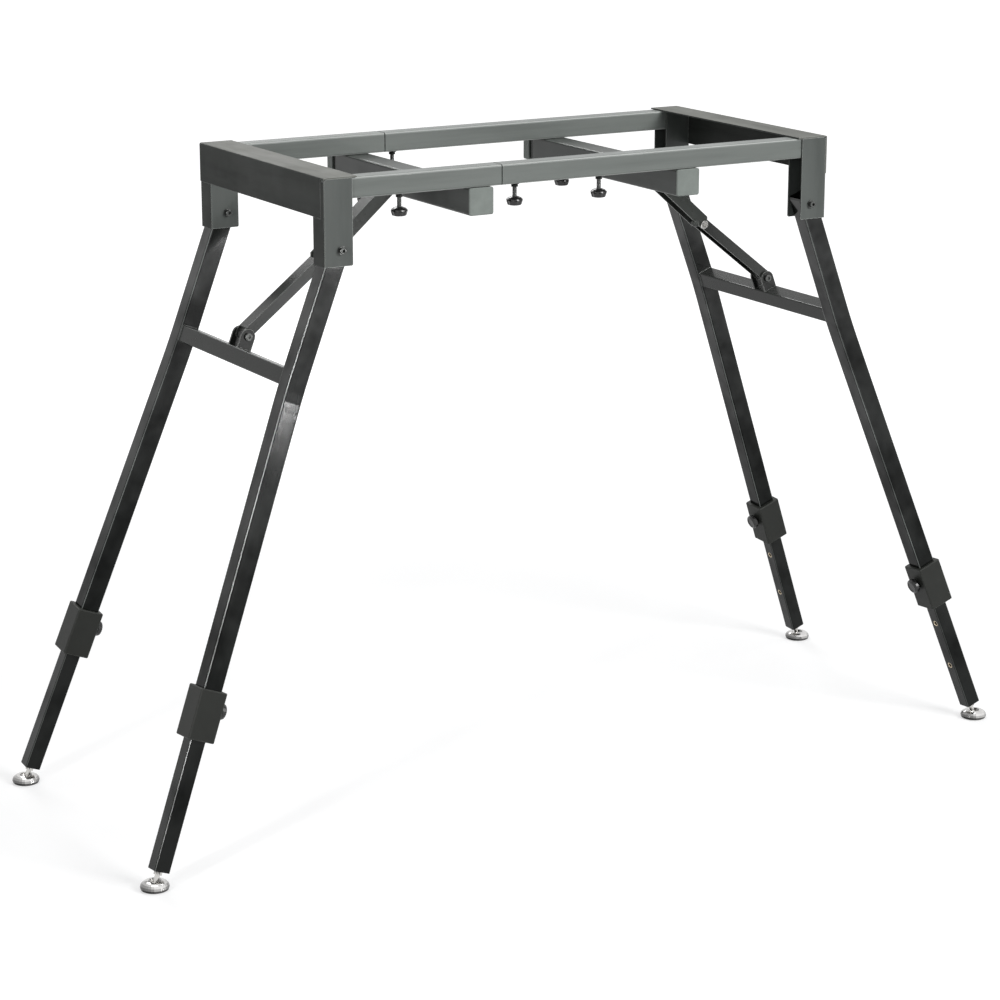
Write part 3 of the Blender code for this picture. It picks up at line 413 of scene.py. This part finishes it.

# %% [markdown]
# The upper legs are gloss black. What shows on black gloss is mostly what it mirrors: thin bright
# lines on the corners, and soft uneven patches on the flats. The corner lines are painted
# highlights in the edge tone, and `blotch` and `fade` break the mirroring up, so that it doesn't
# look like glass.

# %% Upper legs
leg_paint = paint("leg_paint", (0.0095, 0.0110, 0.0100), (0.0060, 0.0074, 0.0066),
                  streak=(40.0, 40.0, 2.5), rough=(0.09, 0.15), peel=0.02, turn=splay,
                  mirrored=True, specular=0.52, edge=(0.23, 0.245, 0.235), corner="Y",
                  blotch=0.42, fade=(0.30, 0.95, 0.25))
for name in nodes_ending("upper_leg"):
    dress(name, [leg_paint])
print("upper legs:", nodes_ending("upper_leg"))

# %% [markdown]
# The strut links are bent from strip. The upper link catches the light and looks grey, while the
# lower one hangs in the stand's shade and looks black, so each gets its own mix. Their grain
# leans by the links' slope at rest.

# %% Strut links
link_slope = math.radians(40)
link_paint = paint("link_paint", (0.058, 0.063, 0.058), (0.046, 0.050, 0.046),
                   streak=(40.0, 40.0, 6.0), rough=(0.24, 0.34), turn=link_slope, mirrored=True,
                   edge=(0.30, 0.32, 0.30))
lower_link_paint = paint("lower_link_paint", (0.016, 0.018, 0.016), (0.012, 0.013, 0.012),
                         streak=(40.0, 40.0, 6.0), rough=(0.18, 0.28), turn=link_slope,
                         mirrored=True, specular=0.45, edge=(0.24, 0.25, 0.24))
for name in nodes_ending("upper_link"):
    dress(name, [link_paint])
for name in nodes_ending("lower_link"):
    dress(name, [lower_link_paint])
print("strut links:", nodes_ending("_link"))

# %% [markdown]
# The cross bar between two legs is black, with a glossier clevis welded on its upper face to hold
# the strut. Bar and clevis are one solid. The bar leans with the legs, so a face belongs to the
# clevis when it lies above the bar's own leaning top, not above one height.

# %% Cross bars
bar_paint = paint("bar_paint", (0.014, 0.016, 0.014), (0.010, 0.012, 0.010),
                  streak=(40.0, 3.0, 40.0), rough=(0.20, 0.30), specular=0.20,
                  edge=(0.05, 0.055, 0.05), corner="X", blotch=0.7)
clevis_paint = paint("clevis_paint", (0.014, 0.015, 0.014), (0.010, 0.011, 0.010),
                     streak=(60.0, 60.0, 60.0), rough=(0.07, 0.14), peel=0.12, specular=0.36,
                     edge=(0.34, 0.35, 0.33))
bar_half = 0.0125
bar_down = 0.1945
above_bar = 0.0015


def leaning_axes(sign):
    """The directions outwards and up along one side's legs."""
    outward = Vector((sign * math.cos(splay), 0, math.sin(splay)))
    up = Vector((-sign * math.sin(splay), 0, math.cos(splay)))
    return outward, up


def clevis_choice(sign):
    """Faces over the bar's upper face take the second material."""
    up = leaning_axes(sign)[1]
    top = Vector((sign * pivot_x, 0, pivot_z)).dot(up) - bar_down + bar_half + above_bar
    return lambda face: 1 if face.center.dot(up) > top else 0


for side, sign in sides:
    dress(side + "_cross_bar", [bar_paint, clevis_paint], clevis_choice(sign))
print("bar middle below the pivots:", bar_down)

# %% [markdown]
# Collars, plugs and knobs are moulded plastic. A mould leaves its own texture: fine and matt on
# the collars, finer on the plugs, and nearly smooth on the glossy knobs, which handling has
# scuffed a little. One recipe with three settings is enough, since only grain and shine differ.

# %% Moulded plastic
def plastic(name, colour, rough, texture_per_metre, texture, sheen=0.5, scuff=0.0, edge=None):
    """A moulded finish: colour, roughness range, and how fine and strong its texture is."""
    material, tree, shader = new_material(name)
    plain, _ = grain(tree, no_stretch)
    dark, light = [tuple(part * share for part in colour) for share in (0.86, 1.18)]
    cloud = noise(tree, plain, 35.0, 4.0, 0.6)
    tone = ramp(tree, cloud, [(0.25, dark), (0.5, colour), (0.8, light)])
    # The paler edge line is a painted highlight.
    if edge:
        tone = painted_edge_highlight(tree, tone, edge_highlight_mask(tree, moulding_edge_width), edge)
    join(tree, tone, shader.inputs["Base Color"])
    fine = noise(tree, plain, texture_per_metre, 2.0)
    gloss = ramp(tree, fine, [(0.25, rough[0]), (0.75, rough[1])])
    if scuff:
        marks = ramp(tree, noise(tree, plain, 260.0, 6.0, 0.75), [(0.60, 0.0), (0.68, scuff)])
        gloss = blend(tree, "ADD", gloss, marks)
    join(tree, gloss, shader.inputs["Roughness"])
    shader.inputs["Specular IOR Level"].default_value = sheen
    raise_skin(tree, shader, fine, texture, 0.0003)
    return material


collar_plastic = plastic("collar_moulding", (0.0175, 0.0188, 0.0165), (0.44, 0.56), 1500.0, 0.25,
                         sheen=0.22, edge=(0.075, 0.078, 0.072))
cap_plastic = plastic("cap_moulding", (0.205, 0.228, 0.212), (0.42, 0.54), 1200.0, 0.18, sheen=0.3)
knob_plastic = plastic("knob_moulding", (0.012, 0.012, 0.012), (0.16, 0.26), 700.0, 0.06,
                       scuff=0.25)
print("plastics:", [m.name for m in (collar_plastic, cap_plastic, knob_plastic)])

# %% [markdown]
# The collars, front plugs and pull pins are plastic all over. A sliding arm is a black tube with
# a plastic cap pressed into its rear end, and both are one solid, so the faces behind the cap's
# front edge take the plastic.

# %% Plastic pieces and arms
cap_length = 0.0181


def arm_choice(box):
    """Faces of the cap at the rear end take the second material."""
    edge = box[1][1] - cap_length
    return lambda face: 1 if face.center.y > edge else 0


for ending, material in (("leg_collar", collar_plastic), ("front_cap", cap_plastic),
                         ("pull_pin", knob_plastic)):
    for name in nodes_ending(ending):
        dress(name, [material])
for name in nodes_ending("support_arm"):
    dress(name, [bar_paint, cap_plastic], arm_choice(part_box(name)))
print("arms:", nodes_ending("support_arm"))

# %% [markdown]
# Feet, bolts and stems are plated, and the rims of the pin holes are bare. Polished chrome mirrors
# its room: on a real foot the pale surround shows on the sloping top, and darker things on the
# wall and the flanks. This studio is pale all round, so that reflection is painted into the foot's
# tone, which follows the direction of its surface instead. A fine haze and faint scratches keep
# the metal from looking new.

# %% Plated metal
def painted_reflection(tree, wall):
    """A painted reflection: dark where the metal looks sideways, and bright where it slopes up."""
    normal = coordinates(tree, "Normal")
    shade = ramp(tree, part_of(tree, normal, "Z"),
                 [(0.0, wall), (0.14, wall * 1.8), (0.34, 1.0), (0.80, 0.92), (1.0, 0.75)])
    sideways = calculate(tree, "ABSOLUTE", part_of(tree, normal, "X"))
    flank = ramp(tree, sideways, [(0.30, 1.0), (0.58, 0.42), (1.0, 0.26)])
    return blend(tree, "MULTIPLY", shade, flank)


def plating(name, colour, rough, scratches_per_metre, scratch, wall=None):
    """A plated or bare metal: colour, roughness range, and its scratches."""
    material, tree, shader = new_material(name)
    plain, _ = grain(tree, no_stretch)
    hazy = tuple(part * 0.90 for part in colour)
    tone = ramp(tree, noise(tree, plain, 60.0, 5.0, 0.65), [(0.30, hazy), (0.65, colour)])
    if wall:
        tone = blend(tree, "MULTIPLY", tone, painted_reflection(tree, wall))
    join(tree, tone, shader.inputs["Base Color"])
    fine = noise(tree, plain, scratches_per_metre, 4.0, 0.7)
    join(tree, ramp(tree, fine, [(0.35, rough[0]), (0.75, rough[1])]), shader.inputs["Roughness"])
    shader.inputs["Metallic"].default_value = 1.0
    raise_skin(tree, shader, fine, scratch, 0.0002)
    return material


foot_chrome = plating("foot_chrome", (0.84, 0.83, 0.82), (0.10, 0.18), 420.0, 0.05, wall=0.12)
bolt_chrome = plating("bolt_chrome", (0.60, 0.59, 0.57), (0.16, 0.30), 900.0, 0.10)
dark_plate = plating("black_oxide", (0.105, 0.108, 0.105), (0.24, 0.36), 900.0, 0.08)
hole_metal = plating("bare_hole_edge", (0.62, 0.52, 0.38), (0.22, 0.34), 900.0, 0.10)
print("plated metals:", foot_chrome.name, bolt_chrome.name, dark_plate.name, hole_metal.name)

# %% [markdown]
# The middle bolts of the struts are bright, and all the other bolts are black oxide, a cheap
# finish that doesn't catch the eye on dark paint. A thumbscrew is a plastic knob on a black stem.
# It is one solid, so its faces above the knob's top take the stem's metal.

# %% Feet, bolts and thumbscrews
knob_height = 0.0133


def screw_choice(box):
    """Faces of the stem over the knob take the second material."""
    low = box[0][2]
    return lambda face: 1 if face.center.z > low + knob_height else 0


for name in nodes_ending("foot_pad"):
    dress(name, [foot_chrome])
for name in nodes_ending("middle_bolt"):
    dress(name, [bolt_chrome])
for name in nodes_ending("pivot_bolt", "top_bolt", "bottom_bolt"):
    dress(name, [dark_plate])
for name in nodes_ending("_screw"):
    dress(name, [knob_plastic, dark_plate], screw_choice(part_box(name)))
print("bolts and thumbscrews:", len(nodes_ending("_bolt", "_screw")))

# %% [markdown]
# A lower leg is a thinner black tube that ends in a nut, a bright stem and a ball. Inside its pin
# holes the metal is bare. All of it is one solid: faces near the bottom are stem and ball, and
# the very small faces higher up are the walls of the holes.

# %% Lower legs
# Its paler corner tone is a painted highlight, and its lower shine near the feet is painted shade.
tube_paint = paint("tube_paint", (0.0060, 0.0072, 0.0064), (0.0034, 0.0042, 0.0038),
                   streak=(60.0, 60.0, 3.0), rough=(0.08, 0.16), turn=splay, mirrored=True,
                   specular=0.18, edge=(0.09, 0.096, 0.09), corner="Y",
                   blotch=0.5, fade=(0.05, 0.25, 0.9))
stem_height = 0.0235
holes_above = 0.040
hole_face_area = 5e-6


def lower_leg_choice(box):
    """Stem and ball take the second material, and the walls of the pin holes the third."""
    low = box[0][2]

    def choose(face):
        if face.center.z < low + stem_height:
            return 1
        if face.center.z > low + holes_above and face.area < hole_face_area:
            return 2
        return 0

    return choose


for name in nodes_ending("lower_leg"):
    dress(name, [tube_paint, bolt_chrome, hole_metal], lower_leg_choice(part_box(name)))
print("dressed", len(set(dressed)), "of", len(nodes), "nodes")

# %% [markdown]
# Some trim is too small for the CAD model: threads, weld beads and the worn rims of holes. Each
# one is built as a mesh of its own from rows of points.

# %% Making a trim piece
def new_piece(name, solid, material, body):
    bmesh.ops.recalc_face_normals(solid, faces=solid.faces)
    mesh = bpy.data.meshes.new(name)
    solid.to_mesh(mesh)
    solid.free()
    mesh.shade_smooth()
    mesh.materials.append(material)
    piece = bpy.data.objects.new(name, mesh)
    bpy.context.scene.collection.objects.link(piece)
    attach(piece, body)
    return piece


def bridge(solid, first, second):
    """Faces between two closed rings of points."""
    count = len(first)
    for j in range(count):
        k = (j + 1) % count
        solid.faces.new((first[j], first[k], second[k], second[j]))


print("trim helpers: new_piece, bridge")

# %% [markdown]
# Each thumbscrew's stem carries a real thread: a ridge that climbs round it, 1 mm a turn. A bump
# texture would look flat at the stem's outline, and Blender's Screw modifier works from a profile
# object that would have to be thrown away. So the ridge's profile is stepped round the stem
# directly, twenty steps a turn, and it turns with its own screw.

# %% Screw threads
thread_from, thread_to = 0.0136, 0.0280
thread_pitch, steps_a_turn = 0.0010, 20
thread_root, thread_crest = 0.00299, 0.00330
thread_profile = ((thread_root, -0.36), (thread_crest, -0.06), (thread_crest, 0.06),
                  (thread_root, 0.36))


def make_thread(name, node, body):
    low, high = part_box(node)
    x, y = (low[0] + high[0]) / 2, (low[1] + high[1]) / 2
    start, end = low[2] + thread_from, low[2] + thread_to
    solid = bmesh.new()
    previous = None
    for i in range(int((end - start) / thread_pitch * steps_a_turn)):
        angle = 2 * math.pi * i / steps_a_turn
        z = start + thread_pitch * i / steps_a_turn
        row = []
        for radius, rise in thread_profile:
            row.append(solid.verts.new((x + radius * math.cos(angle), y + radius * math.sin(angle),
                                        z + thread_pitch * rise)))
        if previous:
            for j in range(len(row) - 1):
                solid.faces.new((previous[j], row[j], row[j + 1], previous[j + 1]))
        previous = row
    return new_piece(name, solid, dark_plate, body)


screw_nodes = {"left_arm_screw": "left_arm_screw", "right_arm_screw": "right_arm_screw",
               "front_left_width_screw": "front_left_screw",
               "front_middle_width_screw": "front_middle_screw",
               "front_right_width_screw": "front_right_screw",
               "rear_middle_width_screw": "rear_middle_screw"}
threads = [make_thread(node + "_thread", node, body) for node, body in screw_nodes.items()]
print("threads:", len(threads))

# %% [markdown]
# The cross bars are welded to the legs. A weld bead is a rope of small overlapping ripples round
# the bar's end, left where each drop of metal froze. A plain tube on a curve would look like a
# wire, so the bead's radius rises and falls along the seam, 2.2 mm a ripple.

# %% Weld bead
weld_paint = paint("weld_paint", (0.060, 0.064, 0.060), (0.030, 0.033, 0.030),
                   streak=(300.0, 300.0, 300.0), rough=(0.14, 0.24), specular=0.5)
bead_radius, ripple_length, ripple_height = 0.0013, 0.0022, 0.16
bead_sides = 8


def make_bead(name, points, body):
    """A rippled tube along the points, closed at both ends."""
    solid = bmesh.new()
    rings = []
    travelled = 0.0
    for i, point in enumerate(points):
        ahead = points[min(i + 1, len(points) - 1)]
        behind = points[max(i - 1, 0)]
        along = (ahead - behind).normalized()
        across = along.orthogonal().normalized()
        other = along.cross(across)
        travelled += (point - behind).length
        wave = math.cos(2 * math.pi * travelled / ripple_length)
        size = bead_radius * (1.0 + ripple_height * wave)
        ring = []
        for j in range(bead_sides):
            turn = 2 * math.pi * j / bead_sides
            spoke = across * math.cos(turn) + other * math.sin(turn)
            ring.append(solid.verts.new(point + spoke * size))
        rings.append(ring)
    for first, second in zip(rings, rings[1:]):
        bridge(solid, first, second)
    solid.faces.new(rings[0])
    solid.faces.new(rings[-1])
    return new_piece(name, solid, weld_paint, body)


print("weld bead:", bead_radius, "thick, ripples of", ripple_length)

# %% [markdown]
# A bead follows the outline of the bar, a square with cut corners, in the plane where the bar
# meets the leg. It starts and ends near one corner, where a welder would stop, and doesn't close.
# The outline has only nine corners, so points are set close together between them for the ripples.

# %% Weld beads round the bars
weld_y, bead_step = 0.1732, 0.0006
cut, seam_end = 0.86, 0.8
bar_outline = [(-1, cut), (-cut, 1), (cut, 1), (1, cut), (1, -cut), (cut, -1), (-cut, -1),
               (-1, -cut), (-1, seam_end)]


def fine_path(corners):
    """The corners joined by evenly spaced points."""
    points = []
    for first, second in zip(corners, corners[1:]):
        parts = max(1, round((second - first).length / bead_step))
        points += [first.lerp(second, i / parts) for i in range(parts)]
    return points + [corners[-1]]


beads = []
for side, sign in sides:
    outward, up = leaning_axes(sign)
    middle = Vector((sign * pivot_x, 0, pivot_z)) - up * bar_down
    for end, y_sign in ends:
        corners = [middle + Vector((0, y_sign * weld_y, 0)) + outward * a * bar_half
                   + up * b * bar_half for a, b in bar_outline]
        beads.append(make_bead(side + "_" + end + "_bar_weld", fine_path(corners),
                               side + "_leg_frame"))
print("weld beads:", len(beads))

# %% [markdown]
# The pull pins have worn the paint off the rims of the lower legs' holes, and the bare rings show
# in the photograph. A ring could be a painted spot, but a thin raised one catches the light as
# the real rim does. The tube leans twice, by the splay and by the legs' bend, so one matrix
# carries a point from the tube's own axes to the stand's.

# %% A hole's rim and its place
bend_down, bend_angle = 0.2122, math.radians(4.76)
leg_y = 0.1883
rim_radius, rim_thick, rim_flat = 0.0042, 0.0010, 0.6
rim_steps, rim_sides = 28, 8


def tube_matrix(sign, y_sign):
    """From a lower tube's own axes, with zero at the bend, to the stand's."""
    lean = Matrix.Rotation(-sign * splay, 4, "Y")
    bend = Matrix.Rotation(y_sign * bend_angle, 4, "X")
    start = Matrix.Translation((sign * pivot_x, 0, pivot_z))
    return start @ lean @ Matrix.Translation((0, y_sign * leg_y, -bend_down)) @ bend


def make_rim(name, place, body):
    """A flattened ring of bare metal that lies in the tube's inward face."""
    solid = bmesh.new()
    rings = []
    for i in range(rim_steps):
        a = 2 * math.pi * i / rim_steps
        ring = []
        for j in range(rim_sides):
            b = 2 * math.pi * j / rim_sides
            reach = rim_radius + rim_thick * math.cos(b)
            point = Vector((rim_thick * rim_flat * math.sin(b), reach * math.cos(a),
                            reach * math.sin(a)))
            ring.append(solid.verts.new(place @ point))
        rings.append(ring)
    for i in range(rim_steps):
        bridge(solid, rings[i], rings[(i + 1) % rim_steps])
    return new_piece(name, solid, hole_metal, body)


print("rim radius:", rim_radius)

# %% [markdown]
# Two holes show below each collar. Their rims sit almost flush: they stand only 0.12 mm proud of
# the tube's face, because the tube slides up into the upper leg with very little room.

# %% Pin-hole rims
hole_distances = (0.543, 0.623)
face_offset = 0.01182
rims = []
for side, sign in sides:
    for end, y_sign in ends:
        base = tube_matrix(sign, y_sign)
        for count, down in enumerate(hole_distances, 1):
            place = base @ Matrix.Translation((-sign * face_offset, 0, -down))
            rims.append(make_rim(f"{side}_{end}_hole_rim_{count}", place,
                                 f"{side}_{end}_lower_leg"))
print("pin-hole rims:", len(rims))

# %% [markdown]
# The photograph has a white background. More light on the scene would whiten the floor, but it
# would also bleach the stand. So the backdrop looks white only to rays that come straight from
# the camera, or from a mirror or glass, and stays dim for the rays that light the stand.

# %% Rays that see the backdrop
def seen_directly(tree):
    """One for camera, mirror and glass rays, and zero for the rays that carry light."""
    path = add(tree, "ShaderNodeLightPath")
    first = calculate(tree, "MAXIMUM", path.outputs["Is Camera Ray"], path.outputs["Is Glossy Ray"])
    return calculate(tree, "MAXIMUM", first, path.outputs["Is Transmission Ray"])


print("backdrop helper: seen_directly")

# %% [markdown]
# The floor is matt white paper. Near the stand its white comes partly from the lamps, so the
# soft shadows at the feet stay visible. Farther out it glows by itself until no horizon shows.
# A shadow-catching floor would need the compositor, and a plain white one would look grey.

# %% Floor paper
shadow_zone, white_zone = 0.9, 3.2
glow_near, glow_far = 0.56, 1.0
dim_paper = (0.20, 0.20, 0.20, 1.0)


def floor_paper():
    material, tree, shader = new_material("floor_paper")
    plain, _ = grain(tree, no_stretch)
    seen = seen_directly(tree)
    paper = ramp(tree, noise(tree, plain, 2.0, 2.0), [(0.3, 0.52), (0.7, 0.54)])
    dim = add(tree, "ShaderNodeRGB")
    dim.outputs[0].default_value = dim_paper
    join(tree, mix(tree, seen, dim.outputs[0], paper), shader.inputs["Base Color"])
    set_inputs(shader, {"Roughness": 0.9, "Specular IOR Level": 0.1,
                        "Emission Color": (1.0, 1.0, 1.0, 1.0)})
    distance = add(tree, "ShaderNodeVectorMath", operation="LENGTH")
    join(tree, plain, distance.inputs[0])
    glow = add(tree, "ShaderNodeMapRange", interpolation_type="SMOOTHSTEP")
    set_inputs(glow, {"From Min": shadow_zone, "From Max": white_zone,
                      "To Min": glow_near, "To Max": glow_far})
    join(tree, distance.outputs["Value"], glow.inputs["Value"])
    lift = calculate(tree, "MULTIPLY", seen, glow.outputs["Result"])
    join(tree, lift, shader.inputs["Emission Strength"])
    return material


print("glow of the paper:", glow_near, "near the stand,", glow_far, "far out")

# %% [markdown]
# The sheet itself is one flat square, far wider than the view, so that no edge of it shows from
# any side. It isn't part of the object.

# %% Floor
floor_reach = 14.0


def make_floor():
    mesh = bpy.data.meshes.new("floor")
    solid = bmesh.new()
    outline = ((-1, -1), (1, -1), (1, 1), (-1, 1))
    corners = [solid.verts.new((x * floor_reach, y * floor_reach, 0)) for x, y in outline]
    solid.faces.new(corners)
    solid.to_mesh(mesh)
    solid.free()
    floor = bpy.data.objects.new("floor", mesh)
    bpy.context.scene.collection.objects.link(floor)
    mesh.materials.append(floor_paper())
    return floor


floor = make_floor()
print("floor made:", floor.name)

# %% [markdown]
# Around the stand lies an even, weak light, and the camera sees it as white. A picture of a real
# studio could stand in for it, but it would put shapes into the gloss that the photograph lacks.

# %% Surround
surround_light, surround_seen = 0.20, 1.0


def make_world():
    world = bpy.data.worlds.new("studio")
    bpy.context.scene.world = world
    world.use_nodes = True
    tree = world.node_tree
    background = tree.nodes["Background"]
    bright = add(tree, "ShaderNodeBackground")
    set_inputs(bright, {"Color": (1.0, 1.0, 1.0, 1.0), "Strength": surround_seen})
    set_inputs(background, {"Color": (0.95, 0.97, 1.0, 1.0), "Strength": surround_light})
    switch = add(tree, "ShaderNodeMixShader")
    join(tree, seen_directly(tree), switch.inputs[0])
    join(tree, background.outputs[0], switch.inputs[1])
    join(tree, bright.outputs[0], switch.inputs[2])
    join(tree, switch.outputs[0], tree.nodes["World Output"].inputs["Surface"])
    return world


world = make_world()
print("surround:", world.name, surround_light)

# %% [markdown]
# On black gloss the lamps' mirror images matter more than their light. A wide key at the front
# right gives the main light, and a top lamp and a rear one fill it in. Three narrow strips add
# lines of reflected light: one along the front rail's top, one down the left legs, and a small
# low one whose image is the bright patch below the left front leg's bend.

# %% Lamps
def area_light(name, location, target, size, energy):
    data = bpy.data.lights.new(name, "AREA")
    data.shape = "RECTANGLE"
    data.size, data.size_y = size
    data.energy = energy
    light = bpy.data.objects.new(name, data)
    bpy.context.scene.collection.objects.link(light)
    light.location = location
    aim = Vector(target) - Vector(location)
    light.rotation_euler = aim.to_track_quat("-Z", "Y").to_euler()
    return light


# name, place, point that it aims at, width and height, power in watts
lamps = [
    ("key", (1.3, -3.5, 2.3), (0.0, 0.0, 0.75), (1.8, 1.2), 116.0),
    ("top", (0.0, 0.3, 3.2), (0.0, 0.0, 0.8), (2.0, 2.0), 20.0),
    ("top_strip", (1.5, -0.55, 3.2), (0.0, -0.19, 0.95), (1.9, 0.12), 9.0),
    ("left_strip", (-2.6, -1.34, 1.15), (-0.5, -0.2, 0.6), (0.12, 1.2), 19.0),
    ("rear", (0.3, 3.2, 3.0), (0.0, 0.0, 0.7), (1.6, 1.0), 42.0),
    ("low_strip", (1.147, -3.2, 0.352), (-0.49, -0.2, 0.65), (0.11, 0.035), 2.6),
]
lights = [area_light(*lamp) for lamp in lamps]
print("lights:", [light.name for light in lights])

# %% [markdown]
# The camera stands where the photograph was taken from: front left, and a little above the top.
# Its place, turn and lens were worked out from the straight edges in the photograph, since a
# camera set by eye is never close enough to lay the two pictures over each other. The small
# shifts are there because the picture is cropped off its middle.

# %% Camera
camera_place = (-2.24108, -3.80175, 1.59710)
camera_turn = (90 - 15.2518, 0.02, -29.9865)
sensor_width, focal_length = 36.0, 104.70
shift_right, shift_up = 0.01129, 0.01237


def make_camera():
    data = bpy.data.cameras.new("camera")
    data.sensor_width = sensor_width
    data.lens = focal_length
    data.shift_x = shift_right
    data.shift_y = shift_up
    data.clip_end = 60.0
    camera = bpy.data.objects.new("camera", data)
    bpy.context.scene.collection.objects.link(camera)
    camera.location = camera_place
    camera.rotation_euler = [math.radians(angle) for angle in camera_turn]
    bpy.context.scene.camera = camera
    return camera


camera = make_camera()
bpy.context.scene.view_settings.view_transform = "Standard"
print("camera at", [round(v, 3) for v in camera.location])
